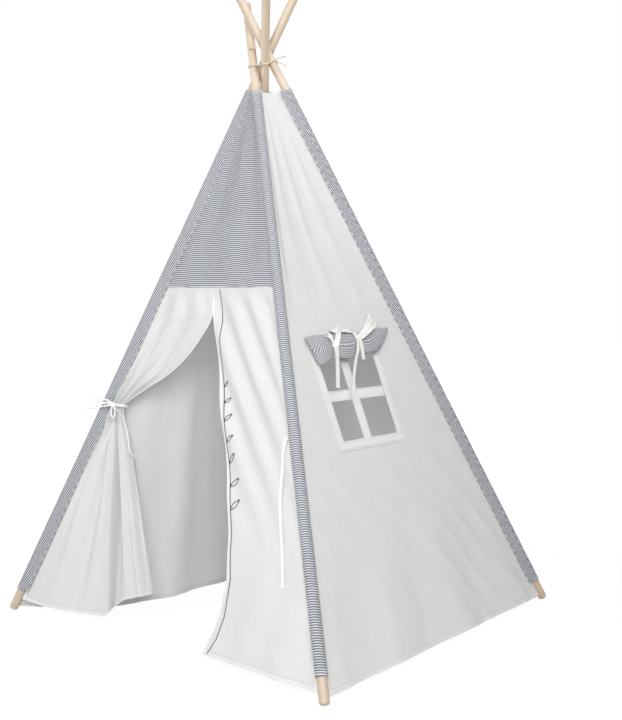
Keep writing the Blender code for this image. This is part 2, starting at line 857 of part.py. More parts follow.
def upper_free_point(fall):
    """Free edge above the bunch: beside the loose leaf first, then drawn over to the pole."""
    stations = []
    for share in MEET_SHARES:
        height = left_top + (meet_low_height - left_top) * share / meet_share
        level = (height - flap_hem) / (loose_top - flap_hem)
        meet_x = free_edge(level) - meet_gap
        stations.append((share, door_wall.at_coordinate(AXIS_X, meet_x, height, flap_lift)))
    for share, x_share, z, back in UPPER_FREE:
        stations.append((share, door_wall.at_coordinate(AXIS_X, half_width * x_share, z, flap_lift - back)))
    stations.append((1.0, pinch_high[-1]))
    for (low, first), (high, last) in zip(stations, stations[1:]):
        if fall <= high:
            return first.lerp(last, (fall - low) / (high - low))
    return stations[-1][1]


upper_free_line = [upper_free_point(row / top_rows) for row in range(top_rows + 1)]
left_rows = []
for row_index in range(top_rows + 1):
    fall = row_index / top_rows
    height = left_top + (pinch_height + pinch_half - left_top) * fall
    start = door_wall.point(height, 0.0, flap_lift, sag_clearance)
    stop = upper_free_line[row_index]
    gather = smooth(fall ** gather_power)
    row = []
    for step in range(left_columns_count + 1):
        share = step / left_columns_count
        flat = start.lerp(stop, share)
        pleat = pinch_row[step] - pinch_row[0].lerp(pinch_row[-1], share)
        row.append(flat + pleat * gather)
    left_rows.append(row)
hem_stations = [Vector((half_width * x_share, half_depth * y_share, z)) for x_share, y_share, z in HEM]
hem_line = curve_through(hem_stations, left_columns_count)
foot_start = door_wall.point(HEM[0][2], 0.0, flap_lift, sag_clearance)
hem_line[0] = foot_start
for row_index in range(low_rows + 1):
    fall = row_index / low_rows
    row = []
    for step in range(left_columns_count + 1):
        share = step / left_columns_count
        top_point = pinch_low[0].lerp(pinch_low[-1], share)
        pleat = pinch_row[step] - top_point
        spot = top_point.lerp(hem_line[step], fall)
        wave = hem_gather * math.sin(math.tau * pinch_folds * share) * math.sin(math.pi * share)
        keep_pleat = (1 - smooth(fall * pleat_fall)) * pleat
        row.append(spot + keep_pleat + door_out * (wave * math.sin(math.pi * fall)))
    left_rows.append(row)
left_rows.reverse()
sheet("door_flap_left", left_rows, cotton)

# Rolled blind hung on the outside over the window


def on_window(y, z, lift):
    return window_wall.at_coordinate(AXIS_Y, y, z, lift)


def blind_ring(y, top, bottom, depth, bow, grow=0.0, crease=blind_crease):
    """Oval section of the roll in Y, Z and lift, closed, with shallow lengthwise creases."""
    points = []
    outs = []
    half = (top - bottom) / 2 + grow
    deep = depth / 2 + grow
    middle = (top + bottom) / 2
    lift = blind_stand + bow + depth / 2
    for step in range(blind_round):
        angle = math.tau * step / blind_round
        ridge = 1 - crease * (0.5 - 0.5 * math.cos(blind_crease_waves * angle))
        offset_n = deep * math.copysign(abs(math.cos(angle)) ** oval_power, math.cos(angle)) * ridge
        offset_z = half * math.copysign(abs(math.sin(angle)) ** oval_power, math.sin(angle)) * ridge
        points.append(on_window(y, middle + offset_z, lift + offset_n))
        outs.append(on_window(y, middle + offset_z * blind_out_factor, lift + offset_n * blind_out_factor)
                    - points[-1])
    return points, [out.normalized() for out in outs]


bm = bmesh.new()
rings = []
for number, station in enumerate(BLIND):
    shifts = (-tie_hold, 0.0, tie_hold) if number in TIED else (0.0,)
    for shift in shifts:
        ring_points, _ = blind_ring(station[0] + shift, *station[1:])
        rings.append([bm.verts.new(point) for point in ring_points])
for low, high in zip(rings, rings[1:]):
    for index in range(blind_round):
        other = (index + 1) % blind_round
        bm.faces.new((low[index], low[other], high[other], high[index]))
bm.faces.new(rings[0])
bm.faces.new(list(reversed(rings[-1])))
finish_object("window_blind", bm, stripe)
blind_hinge = on_window(BLIND[TIED[0]][0], blind_axis_height, 0.0)
blind_far = on_window(BLIND[TIED[1]][0], blind_axis_height, 0.0)
print("blind hinge", [round(value, 5) for value in blind_hinge], "axis",
      [round(value, 5) for value in (blind_far - blind_hinge).normalized()])

# Tapes that hold the blind: a ring round the roll, a knot, loops and tails

window_run = on_window(window_right, window_top, 0.0) - on_window(window_left, window_top, 0.0)
window_across = window_run.normalized()
window_out = window_wall.normal(window_top, 0.5)
window_climb = window_out.cross(window_across).normalized()


def window_tie(name, station, loops):
    y, top, bottom, depth, bow = station
    path, outs = blind_ring(y, top, bottom, depth, bow, tape_fit, 0.0)
    tapes = [closed_band(path, window_across, tape_width, tape_thickness, outs)]
    deep = depth / 2 + tape_fit
    front = blind_stand + bow + depth / 2 + deep * math.cos(knot_angle) ** oval_power + tape_thickness / 2
    knot_z = (top + bottom) / 2 + (top - bottom) / 2 * math.sin(knot_angle) ** oval_power
    centre = on_window(y, knot_z, front + knot_depth / 2)
    axes = (window_across, window_climb, window_out)
    knot = block(centre, axes, (knot_size, knot_size, knot_depth), knot_depth / 4)
    for points in loops:
        path = curve_through([on_window(y + dy, knot_z + dz, front + dn) for dy, dz, dn in points],
                             tail_points * len(points))
        upright = abs((path[-1] - path[0]).normalized().z) > 0.5
        side = window_across if upright else window_climb
        tapes.append(swept(path, [side] * len(path), tape_width * loop_width_share, tape_thickness))
    joined(name, knot, tapes, tape)


window_tie("window_tie_left", BLIND[TIED[0]], LEFT_LOOPS)
window_tie("window_tie_right", BLIND[TIED[1]], RIGHT_LOOPS)

# Tape that gathers the left flap against its pole

band_reach = pinch_width + cloth_thickness + tape_fit + band_slack
band_front = 2 * tape_fit + tape_thickness
bunch_deep = pinch_amplitude * 2 + cloth_thickness + tape_fit


def at_bunch(along, out, climb=0.0):
    return pinch_start + door_across * along + door_out * out + door_climb * climb


band_back = -bunch_deep - band_front
front_share, side_share, back_share = BAND_SHARES
band_path = [at_bunch(band_start, band_front), at_bunch(band_reach * front_share, band_front),
             at_bunch(band_reach, band_front), at_bunch(band_reach + band_round, -bunch_deep * side_share),
             at_bunch(band_reach, band_back), at_bunch(band_reach * back_share, band_back),
             at_bunch(band_start, band_back)]
door_tapes = [swept(band_path, [door_climb] * len(band_path), tie_width, tape_thickness)]
door_knot = at_bunch(band_start, band_front + knot_depth / 2)
knot_sizes = (knot_depth, knot_size, knot_depth)
knot = block(door_knot, (door_across, door_climb, door_out), knot_sizes, knot_depth / 4)
for tie_points in DOOR_LOOPS:
    path = curve_through([at_bunch(a, b + tape_thickness, c) for a, b, c in tie_points],
                         tail_points * len(tie_points))
    side = door_climb if tie_points[-1][0] < 0 else door_across
    door_tapes.append(swept(path, [side] * len(path), tie_width / 2, tape_thickness))
joined("door_tie_left", knot, door_tapes, tape)

# Tape that hangs beside the right pole

tie_top_inset = tie_width / 2 - touch_gap
right_edge = door_wall.ends(tie_top_height)[1]
tie_start = right_edge - door_across * tie_top_inset
tie_stop = door_wall.at_coordinate(AXIS_X, half_width * tie_bottom_share, tie_bottom_height)
tie_lift = flap_lift + touch_gap + tape_thickness / 2 + tie_ease
tie_path = []
for step in range(hanging_steps + 1):
    share = step / hanging_steps
    spot = tie_start.lerp(tie_stop, share)
    tie_path.append(spot + door_out * (tie_lift + tie_bow * math.sin(math.pi * share)))
right_tape = swept(tie_path, [door_across] * len(tie_path), tie_width, tape_thickness)
finish_object("door_tie_right", right_tape, tape)
print("right tie top", [round(value, 5) for value in tie_path[0]])

# Lashing: one cord round all four poles with a knot and two tails


def ring_support(angle, rise):
    """Outermost point of the bundle in one direction, moved out by the cord and its clearance."""
    level = Vector((math.cos(angle), math.sin(angle), 0.0))
    best = None
    for name, pole in poles.items():
        centre = pole.hinge + pole.up * ((rise - RING_DROP[name]) / pole.up.z)
        stretch = 1 / math.cos(pole.lean)
        a = level.dot(pole.inward) * pole_radius * stretch
        b = level.dot(pole.turn) * pole_radius
        size = math.sqrt(a * a + b * b)
        spot = centre + pole.inward * (a / size * pole_radius * stretch)
        spot += pole.turn * (b / size * pole_radius)
        reach = spot.dot(level)
        if best is None or reach > best[0]:
            best = (reach, spot)
    return best[1] + level * (cord_radius + ring_clearance)


ring = []
for step in range(ring_steps + 1):
    angle = knot_bearing + math.tau * step / ring_steps
    rise = (step / ring_steps - 0.5) * (cord_diameter + ring_clearance)
    ring.append(ring_support(angle, rise))
packed = [ring[0]]
for spot, following in zip(ring[1:], ring[2:] + [None]):
    jump = following is None or (following - spot).length > 2 * cord_diameter
    far = (spot - packed[-1]).length
    if far > cord_diameter or jump and far > cord_diameter / 4:
        packed.append(spot)
level = Vector((math.cos(knot_bearing), math.sin(knot_bearing), 0.0))
sideways = Vector((-level.y, level.x, 0.0))
upright = Vector((0, 0, 1))
first_tail = [packed[0] + level * a + sideways * b + upright * c for a, b, c in FIRST_TAIL]
last_tail = [packed[-1] + level * a + sideways * b + upright * c for a, b, c in LAST_TAIL]
lashing = first_tail + packed + last_tail
add_cord("lashing_cord", lashing, cord_radius, rope)
print("lashing length", round(length_of(lashing), 4), "points", len(lashing),
      "least gap mm", round(least_gap(lashing, cord_radius, 4) * 1000, 2))

# Thread through two of the cord holes, with a stopper knot at each end


def hole_centre(name):
    pole = poles[name]
    return pole.hinge + pole.up * hole_above_hinge


front = hole_centre("front_right")
back = hole_centre("back_left")
front_way = hole_direction("front_right", poles["front_right"])
back_way = hole_direction("back_left", poles["back_left"])
stand_off = pole_radius + thread_diameter
knot_half = thread_radius * knot_half_share
knot_middle = pole_radius + thread_radius * knot_swell + touch_gap
KNOT = ((knot_middle + 2 * knot_half, 1.0), (knot_middle + knot_half, knot_swell), (knot_middle, knot_swell),
        (knot_middle - knot_half, 1.0))
thread = [front - front_way * reach for reach, _ in KNOT]
thread += [front + front_way * (stand_off * share) for share in HOLE_SHARES]
thread += [(front + front_way * stand_off).lerp(back - back_way * stand_off, share) for share in SPAN_SHARES]
thread += [back - back_way * (stand_off * share) for share in reversed(HOLE_SHARES)]
thread += [back + back_way * reach for reach, _ in reversed(KNOT)]
knot_sizes = [size for _, size in KNOT]
swell = knot_sizes + [1.0] * (len(thread) - 2 * len(KNOT)) + list(reversed(knot_sizes))
add_cord("pole_thread", thread, thread_radius, rope, swell)
print("thread length", round(length_of(thread), 4), "points", len(thread))

# Empties on the hinge lines of the cloth, and the pieces that hang on them


def hung(names, empty, frame):
    for name in names:
        piece = bpy.data.objects[name]
        piece.parent = empty
        piece.matrix_parent_inverse = frame.inverted()


def hinge_line(name, start, stop, names):
    """Empty at the start of a hinge line with its own Z along the line."""
    frame = (stop - start).to_track_quat("Z", "X").to_matrix().to_4x4()
    frame.translation = start
    empty = bpy.data.objects.new("pivot_" + name, None)
    bpy.context.collection.objects.link(empty)
    empty.matrix_world = frame
    hung(names, empty, frame)


hinge_line("door_leaf", fold_top, fold_bottom, ["door_flap_right_loose"])
hinge_line("blind", blind_hinge, blind_far, ["window_blind", "window_tie_left", "window_tie_right"])
hinge_line("right_tie", tie_path[0], tie_path[0] - door_across, ["door_tie_right"])
hung(["door_tie_left"], pivots["front_left"], poles["front_left"].frame)
bpy.context.view_layer.update()
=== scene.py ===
# %% [markdown]
# # A child's play teepee
# Four wooden poles lean together and are lashed near the top. A cotton cover is sewn to striped sleeves
# that the poles slide into. The front has a striped header and two door flaps, and the right side a window
# with a rolled blind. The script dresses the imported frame: poles stay as they are and get a wood finish,
# and every cloth piece is made again here as a fine sheet with its folds, hems, stitches and weave.

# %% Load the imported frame
import json
import math

import bmesh
import bpy
from mathutils import Matrix, Vector, noise


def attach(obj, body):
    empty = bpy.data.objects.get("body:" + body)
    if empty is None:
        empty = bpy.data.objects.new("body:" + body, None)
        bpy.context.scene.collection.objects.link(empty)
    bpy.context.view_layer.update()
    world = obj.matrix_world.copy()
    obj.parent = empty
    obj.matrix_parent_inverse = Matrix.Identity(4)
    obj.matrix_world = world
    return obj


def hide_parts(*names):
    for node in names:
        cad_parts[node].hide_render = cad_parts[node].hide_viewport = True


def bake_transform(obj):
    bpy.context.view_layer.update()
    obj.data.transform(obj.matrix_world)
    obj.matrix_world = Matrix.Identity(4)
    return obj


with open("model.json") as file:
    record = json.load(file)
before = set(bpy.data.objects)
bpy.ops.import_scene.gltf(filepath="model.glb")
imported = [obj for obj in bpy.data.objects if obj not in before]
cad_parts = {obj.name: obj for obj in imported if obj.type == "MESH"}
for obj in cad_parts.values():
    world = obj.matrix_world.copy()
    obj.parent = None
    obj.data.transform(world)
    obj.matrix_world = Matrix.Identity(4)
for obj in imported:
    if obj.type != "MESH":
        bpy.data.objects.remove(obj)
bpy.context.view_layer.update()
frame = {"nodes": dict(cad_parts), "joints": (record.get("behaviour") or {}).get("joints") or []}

# %% [markdown]
# ## Sizes
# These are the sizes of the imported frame, in metres. The cloth is laid on the lines of the poles, so the
# poles' feet, crossing points and sleeve thickness are needed before any sheet is cut.

# %% Sizes of the frame
base_width, base_depth = 1.04, 0.96
hinge_height = 1.42
pole_radius = 0.011
cloth_thickness = 0.001
touch_gap = 0.0003
sleeve_inner, sleeve_radius, sleeve_hem = 0.0124, 0.0132, 0.0004
sleeve_bottom, sleeve_top = 0.052, hinge_height - 0.068
wall_top, wall_hem = hinge_height - 0.070, 0.012
header_seam, flap_tuck, flap_hem = 0.842, 0.010, 0.02
pinch_height = 0.537
hem_fold, hem_depth = 0.0115, 0.0125
lamp_aim = Vector((0, 0, 0.7))
SIDES = {"front_right": (1, -1), "back_right": (1, 1), "back_left": (-1, 1), "front_left": (-1, -1)}
X, Y = 0, 1


def smooth(value):
    value = min(1.0, max(0.0, value))
    return value * value * (3 - 2 * value)


def mix(first, last, share):
    return first + (last - first) * share


# %% Lines of the poles, from the joints of the frame
class Pole:
    """Line of one pole from its foot to its crossing point, and the directions of its own frame."""

    def __init__(self, name):
        joint = next(j for j in frame["joints"] if j["name"] == "fold_" + name)
        side_x, side_y = SIDES[name]
        self.name, self.body = name, "pole_" + name
        self.foot = Vector((side_x * base_width / 2, side_y * base_depth / 2, 0.0))
        self.hinge = Vector(joint["pos_m"])
        self.up = (self.hinge - self.foot).normalized()
        self.turn = Vector(joint["axis"])
        self.out = self.turn.cross(self.up)

    def at(self, height):
        return self.foot + self.up * (height / self.up.z)


poles = {name: Pole(name) for name in SIDES}
for pole in poles.values():
    print(pole.name, "leans", round(math.degrees(math.acos(pole.up.z)), 2), "degrees")


# %% Surfaces of the four sides
class Wall:
    """Surface between two sleeves, seen from outside with the first pole on the left."""

    def __init__(self, left, right):
        self.left, self.right = poles[left], poles[right]

    def ends(self, height, clearance=touch_gap):
        start, stop = self.left.at(height), self.right.at(height)
        across = (stop - start).normalized()
        reach = sleeve_radius + sleeve_hem + clearance
        trim_left = reach / math.sqrt(1 - self.left.up.dot(across) ** 2)
        trim_right = reach / math.sqrt(1 - self.right.up.dot(across) ** 2)
        return start + across * trim_left, stop - across * trim_right

    def normal(self, height, share):
        climb = self.left.up.lerp(self.right.up, share)
        return (self.right.at(height) - self.left.at(height)).cross(climb).normalized()

    def point(self, height, share, lift=0.0, clearance=touch_gap):
        first, last = self.ends(height, clearance)
        return first.lerp(last, share) + self.normal(height, share) * lift

    def share_of(self, axis, value, height):
        first, last = self.ends(height)
        return (value - first[axis]) / (last[axis] - first[axis])

    def at_coordinate(self, axis, value, height, lift=0.0):
        return self.point(height, self.share_of(axis, value, height), lift)


door_wall = Wall("front_left", "front_right")
window_wall = Wall("front_right", "back_right")
rear_wall = Wall("back_right", "back_left")
side_wall = Wall("back_left", "front_left")

# %% [markdown]
# ## Finishes
# Each finish is a small node tree. Cloth reads its own UV map, laid out in metres on the flat cloth, so
# threads, stripes and stitches follow every fold. A number named hem on each point is the distance to the
# sewn edge, and the stitch line is drawn from it.


# %% A helper that adds one node
def add(tree, kind, inputs=None, **settings):
    made = tree.nodes.new(kind)
    for key, value in settings.items():
        setattr(made, key, value)
    for key, value in (inputs or {}).items():
        if isinstance(value, bpy.types.NodeSocket):
            tree.links.new(value, made.inputs[key])
        else:
            made.inputs[key].default_value = value
    return made


def fresh(name):
    mat = bpy.data.materials.new(name)
    mat.use_nodes = True
    tree = mat.node_tree
    return mat, tree, tree.nodes["Principled BSDF"]


def sums(tree, operation, first, second=0.0, third=0.0):
    made = add(tree, "ShaderNodeMath", {0: first, 1: second, 2: third}, operation=operation)
    return made.outputs[0]


def ranged(tree, value, low, high, to_low, to_high):
    made = add(tree, "ShaderNodeMapRange", {"Value": value, "From Min": low, "From Max": high,
                                            "To Min": to_low, "To Max": to_high})
    return made.outputs["Result"]


def mixed(tree, share, first, second):
    made = add(tree, "ShaderNodeMix", {0: share, 6: first, 7: second}, data_type="RGBA")
    return made.outputs[2]


def scaled(tree, vector, scale):
    made = add(tree, "ShaderNodeMapping", {"Vector": vector, "Scale": scale})
    return made.outputs["Vector"]


def noise_at(tree, vector, scale, detail=3.0, roughness=0.5):
    made = add(tree, "ShaderNodeTexNoise", {"Vector": vector, "Scale": scale, "Detail": detail,
                                            "Roughness": roughness})
    return made.outputs["Fac"]


def bumped(tree, height, distance, strength=1.0, under=None):
    made = add(tree, "ShaderNodeBump", {"Height": height, "Distance": distance, "Strength": strength})
    if under is not None:
        tree.links.new(under, made.inputs["Normal"])
    return made.outputs["Normal"]


def dress(tree, shader, colour, roughness, normal):
    """Links the three sockets that every finish sets."""
    for socket, value in (("Base Color", colour), ("Roughness", roughness), ("Normal", normal)):
        tree.links.new(value, shader.inputs[socket])


def seen_directly(tree):
    """One for rays that show a surface to the camera, straight or mirrored or passed on, else zero."""
    ray = add(tree, "ShaderNodeLightPath")
    seen = sums(tree, "MAXIMUM", ray.outputs["Is Camera Ray"], ray.outputs["Is Glossy Ray"])
    return sums(tree, "MAXIMUM", seen, ray.outputs["Is Transmission Ray"])


WAVE_TURN = math.tau / 20


def bands(tree, vector, direction, pitch):
    """Even bands of a pitch in metres, from 0 to 1 and back."""
    made = add(tree, "ShaderNodeTexWave", {"Vector": vector, "Scale": WAVE_TURN / pitch},
               wave_type="BANDS", bands_direction=direction, wave_profile="SIN")
    return made.outputs["Fac"]


# %% [markdown]
# Cotton: warp and weft bands make a plain weave in the bump, longer noise makes the thick and thin yarns,
# and a broad noise the slight unevenness of washed cloth. Striped ticking is the same cloth with dyed
# bands.

# %% Cotton, plain or striped
thread_pitch = 0.0011
stripe_pitch = 0.0053
stitch_pitch = 0.0042
stitch_inset = 0.010
let_through, doubled_through = 0.30, 0.14
PALE_HEM = (0.97, 0.97, 0.96, 1)


def past_hem(tree, hem, on_it, past_it):
    """One value on a doubled hem and another past its stitches."""
    return ranged(tree, hem, stitch_inset, stitch_inset + 0.0012, on_it, past_it)


def cotton(name, light, shade, dye=None, dye_share=0.5, crumple=0.0012, stitch_and_groove_shade=(0.68, 0.68, 0.66, 1),
           through=let_through):
    """Woven cloth that lets some light through, and less where a hem lays it double."""
    mat, tree, shader = fresh(name)
    uv = add(tree, "ShaderNodeUVMap", uv_map="cloth").outputs["UV"]
    warp, weft = bands(tree, uv, "X", thread_pitch), bands(tree, uv, "Y", thread_pitch)
    weave = sums(tree, "MAXIMUM", warp, weft)
    slub_x = noise_at(tree, scaled(tree, uv, (22, 700, 1)), 1.0, 2.0)
    slub_y = noise_at(tree, scaled(tree, uv, (700, 22, 1)), 1.0, 2.0)
    slub = sums(tree, "MULTIPLY", slub_x, slub_y)
    broad = noise_at(tree, uv, 9.0, 4.0, 0.55)
    uneven = ranged(tree, broad, 0.3, 0.7, 0.0, 0.45)
    tone = sums(tree, "ADD", ranged(tree, slub, 0.12, 0.40, 0.0, 0.55), uneven)
    colour = mixed(tree, tone, shade, light)
    if dye is not None:
        line = bands(tree, uv, "Y", stripe_pitch)
        soft = ranged(tree, line, dye_share - 0.12, dye_share + 0.12, 1.0, 0.0)
        dyed = mixed(tree, tone, tuple(0.86 * c for c in dye[:3]) + (1,), dye)
        colour = mixed(tree, soft, colour, dyed)
    hem = add(tree, "ShaderNodeAttribute", attribute_name="hem").outputs["Fac"]
    off = sums(tree, "ABSOLUTE", sums(tree, "SUBTRACT", hem, stitch_inset))
    track = ranged(tree, off, 0.0004, 0.0011, 1.0, 0.0)
    diagonal = add(tree, "ShaderNodeMapping", {"Vector": uv, "Rotation": (0, 0, math.radians(45))}).outputs[0]
    dash = ranged(tree, bands(tree, diagonal, "X", stitch_pitch / math.sqrt(2)), 0.25, 0.4, 0.0, 1.0)
    stitch = sums(tree, "MULTIPLY", track, dash)
    if dye is None:
        colour = mixed(tree, past_hem(tree, hem, 0.25, 0.0), colour, PALE_HEM)
    # The whole stitch track is darkened, between the stitches too: the thread's colour and painted shade of
    # the groove the stitches pull in
    colour = mixed(tree, sums(tree, "MULTIPLY", track, 0.45), colour, stitch_and_groove_shade)
    normal = bumped(tree, noise_at(tree, uv, 26.0, 4.0, 0.55), crumple, 0.8)
    normal = bumped(tree, slub, 0.0006, 0.35, normal)
    normal = bumped(tree, weave, 0.0003, 0.25, normal)
    normal = bumped(tree, sums(tree, "SUBTRACT", stitch, track), 0.0008, 0.6, normal)
    dress(tree, shader, colour, ranged(tree, broad, 0.2, 0.8, 0.80, 0.95), normal)
    shader.inputs["Sheen Weight"].default_value = 0.12
    shader.inputs["Sheen Roughness"].default_value = 0.5
    shader.inputs["Specular IOR Level"].default_value = 0.2
    glow = add(tree, "ShaderNodeBsdfTranslucent", {"Color": colour, "Normal": normal})
    passed = past_hem(tree, hem, doubled_through, through)
    both = add(tree, "ShaderNodeMixShader", {0: passed, 1: shader.outputs[0], 2: glow.outputs[0]})
    tree.links.new(both.outputs[0], tree.nodes["Material Output"].inputs["Surface"])
    return mat


white_cotton = cotton("white_cotton", (0.90, 0.90, 0.895, 1), (0.85, 0.85, 0.845, 1))
facing_cotton = cotton("facing_cotton", (0.96, 0.96, 0.94, 1), (0.93, 0.93, 0.91, 1), crumple=0.0006,
                       through=doubled_through)
# Stitch track colour of the ticking: its thread and painted shade of the stitch groove
STRIPED = {"dye_share": 0.53, "crumple": 0.0005, "stitch_and_groove_shade": (0.5, 0.5, 0.53, 1)}
ticking = cotton("striped_cotton", (0.86, 0.87, 0.89, 1), (0.80, 0.81, 0.83, 1),
                 dye=(0.235, 0.245, 0.30, 1), **STRIPED)
ticking_back = cotton("striped_cotton_back", (0.80, 0.81, 0.83, 1), (0.75, 0.76, 0.78, 1),
                      dye=(0.40, 0.41, 0.46, 1), **STRIPED)
print("threads", thread_pitch * 1000, "mm apart, stripes", stripe_pitch * 1000, "mm apart")

# %% [markdown]
# Wood: the dowels are pale and straight-grained. The Mapping node turns each pole's own line to Z, and
# noise that is drawn out along Z makes the grain, so it runs with the pole and not with the room.


# %% Wood of the poles
def wood(pole):
    mat, tree, shader = fresh("dowel_" + pole.name)
    turned = Matrix((pole.out, pole.turn, pole.up)).transposed().to_euler()
    place = add(tree, "ShaderNodeTexCoord").outputs["Object"]
    along = add(tree, "ShaderNodeMapping", {"Vector": place, "Location": pole.hinge, "Rotation": turned},
                vector_type="TEXTURE").outputs["Vector"]
    grain = noise_at(tree, scaled(tree, along, (190, 190, 7)), 1.0, 5.0, 0.6)
    rings = noise_at(tree, scaled(tree, along, (70, 45, 1.6)), 1.0, 2.0, 0.4)
    pores = noise_at(tree, scaled(tree, along, (900, 900, 24)), 1.0, 2.0, 0.5)
    pale = ranged(tree, rings, 0.36, 0.64, 0.0, 1.0)
    colour = mixed(tree, pale, (0.62, 0.495, 0.375, 1), (0.72, 0.615, 0.50, 1))
    colour = mixed(tree, ranged(tree, grain, 0.45, 0.62, 0.0, 0.5), colour, (0.56, 0.435, 0.315, 1))
    colour = mixed(tree, ranged(tree, pores, 0.62, 0.72, 0.0, 0.55), colour, (0.45, 0.29, 0.16, 1))
    normal = bumped(tree, pores, 0.0002, 0.3, bumped(tree, grain, 0.0004, 0.35))
    dress(tree, shader, colour, ranged(tree, grain, 0.3, 0.7, 0.42, 0.62), normal)
    shader.inputs["Specular IOR Level"].default_value = 0.35
    return mat


for pole in poles.values():
    dowel = wood(pole)
    for part in ("lower", "upper"):
        frame["nodes"][pole.body + "_" + part].material_slots[0].material = dowel
print("grain runs along", len(poles), "poles")


# %% Aluminium of the ferrules, hidden in the sleeves
def aluminium():
    mat, tree, shader = fresh("ferrule_aluminium")
    place = add(tree, "ShaderNodeTexCoord").outputs["Object"]
    drawn = noise_at(tree, scaled(tree, place, (400, 400, 12)), 1.0, 3.0)
    colour = mixed(tree, drawn, (0.66, 0.67, 0.69, 1), (0.78, 0.79, 0.80, 1))
    dress(tree, shader, colour, ranged(tree, drawn, 0.3, 0.7, 0.28, 0.45), bumped(tree, drawn, 0.0001, 0.3))
    shader.inputs["Metallic"].default_value = 1.0
    return mat


tube_metal = aluminium()
for pole in poles.values():
    frame["nodes"]["ferrule_" + pole.name].material_slots[0].material = tube_metal


# %% Cotton tape with a herringbone weave, and twisted cotton cord
def tape_finish():
    mat, tree, shader = fresh("cotton_tape")
    uv = add(tree, "ShaderNodeUVMap", uv_map="cloth").outputs["UV"]
    split = add(tree, "ShaderNodeSeparateXYZ", {0: uv})
    fold = sums(tree, "PINGPONG", split.outputs[0], 0.0028)
    slope = sums(tree, "ADD", fold, split.outputs[1])
    twill = bands(tree, add(tree, "ShaderNodeCombineXYZ", {0: slope}).outputs[0], "X", 0.0012)
    tone = noise_at(tree, uv, 60.0, 3.0)
    colour = mixed(tree, twill, (0.86, 0.86, 0.845, 1), (0.95, 0.95, 0.93, 1))
    colour = mixed(tree, ranged(tree, tone, 0.3, 0.7, 0.0, 0.3), colour, (0.85, 0.85, 0.83, 1))
    dress(tree, shader, colour, ranged(tree, tone, 0.3, 0.7, 0.78, 0.92), bumped(tree, twill, 0.0003, 0.5))
    shader.inputs["Sheen Weight"].default_value = 0.12
    return mat


def cord_finish(name, light, shade):
    mat, tree, shader = fresh(name)
    place = add(tree, "ShaderNodeTexCoord").outputs["Object"]
    fibre = noise_at(tree, place, 900.0, 3.0, 0.6)
    broad = noise_at(tree, place, 60.0, 2.0)
    colour = mixed(tree, ranged(tree, fibre, 0.35, 0.65, 0.0, 1.0), shade, light)
    colour = mixed(tree, ranged(tree, broad, 0.4, 0.7, 0.0, 0.35), colour, shade)
    dress(tree, shader, colour, ranged(tree, broad, 0.3, 0.7, 0.8, 0.95), bumped(tree, fibre, 0.0004, 0.6))
    return mat


tape_cotton = tape_finish()
cord_cotton = cord_finish("cotton_cord", (0.84, 0.77, 0.63, 1), (0.66, 0.57, 0.43, 1))
# Navy thread for the stitched line and leaves on the flap; the same colour makes the painted shade strip
# under the blind's binding
thread_and_shade_cotton = cord_finish("navy_thread_and_painted_shade", (0.060, 0.065, 0.095, 1), (0.035, 0.04, 0.06, 1))

# %% [markdown]
# ## Cutting a sheet of cloth
# Real cloth starts as a flat rectangle of threads, and so does each sheet here: a grid is made flat and
# each of its points is then carried to its place on the teepee. The grid keeps its rows and columns as a UV
# map in metres, measured along the finished cloth. A Solidify modifier gives the thickness, as sewing gives
# none.


# %% A sheet from a grid
def linked(name, bm, finish):
    mesh = bpy.data.meshes.new(name)
    bm.to_mesh(mesh)
    bm.free()
    mesh.materials.append(finish)
    for face in mesh.polygons:
        face.use_smooth = True
    obj = bpy.data.objects.new(name, mesh)
    bpy.context.scene.collection.objects.link(obj)
    return obj


def spaced(low, high, count):
    return [mix(low, high, step / count) for step in range(count + 1)]


def measured(points):
    """Flat coordinates of each point: along its row from the row's middle, and up the rows."""
    flat, climb = [], 0.0
    for index, row in enumerate(points):
        runs = [0.0]
        for before, after in zip(row, row[1:]):
            runs.append(runs[-1] + (after - before).length)
        if index:
            steps = [(a - b).length for a, b in zip(row, points[index - 1])]
            climb += sum(steps) / len(steps)
        flat.append([(run - runs[-1] / 2, climb) for run in runs])
    return flat


def cut(name, columns, rows, place, finish, hem=None, keep=None, lay=None, thickness=cloth_thickness):
    """A sheet whose point at column s and row t goes to place(s, t); hem is its distance to a sewn edge."""
    points = [[place(s, t) for s in columns] for t in rows]
    flat = measured(points)
    if lay is not None:
        flat = [[lay(s, t, points[r][c]) for c, s in enumerate(columns)] for r, t in enumerate(rows)]
    across, up = len(columns) - 1, len(rows) - 1
    bm = bmesh.new()
    bmesh.ops.create_grid(bm, x_segments=across, y_segments=up, size=0.5)
    uv = bm.loops.layers.uv.new("cloth")
    edge = bm.verts.layers.float.new("hem")
    cell = {vert: (round((vert.co.x + 0.5) * across), round((vert.co.y + 0.5) * up)) for vert in bm.verts}
    if keep is not None:
        waste = [face for face in bm.faces
                 if not keep(sum(columns[cell[v][0]] for v in face.verts) / 4,
                             sum(rows[cell[v][1]] for v in face.verts) / 4)]
        bmesh.ops.delete(bm, geom=waste, context="FACES")
    for face in bm.faces:
        for loop in face.loops:
            column, row = cell[loop.vert]
            loop[uv].uv = flat[row][column]
    for vert in bm.verts:
        column, row = cell[vert]
        vert.co = points[row][column]
        vert[edge] = hem(columns[column], rows[row]) if hem is not None else 1.0
    places = [cell[vert] for vert in bm.verts]
    for border in bm.edges:
        border.smooth = not border.is_boundary
    obj = linked(name, bm, finish)
    solid = obj.modifiers.new("thickness", "SOLIDIFY")
    solid.thickness, solid.offset = thickness, -1.0
    solid.use_rim, solid.use_even_offset = True, False
    cells = [(columns[column], rows[row]) for column, row in places]
    width = max(sum((b - a).length for a, b in zip(row, row[1:])) for row in points)
    length = max(sum((b[c] - a[c]).length for a, b in zip(points, points[1:])) for c in range(across + 1))
    area = sum(face.area for face in obj.data.polygons)
    return obj, cells, (width, length), area


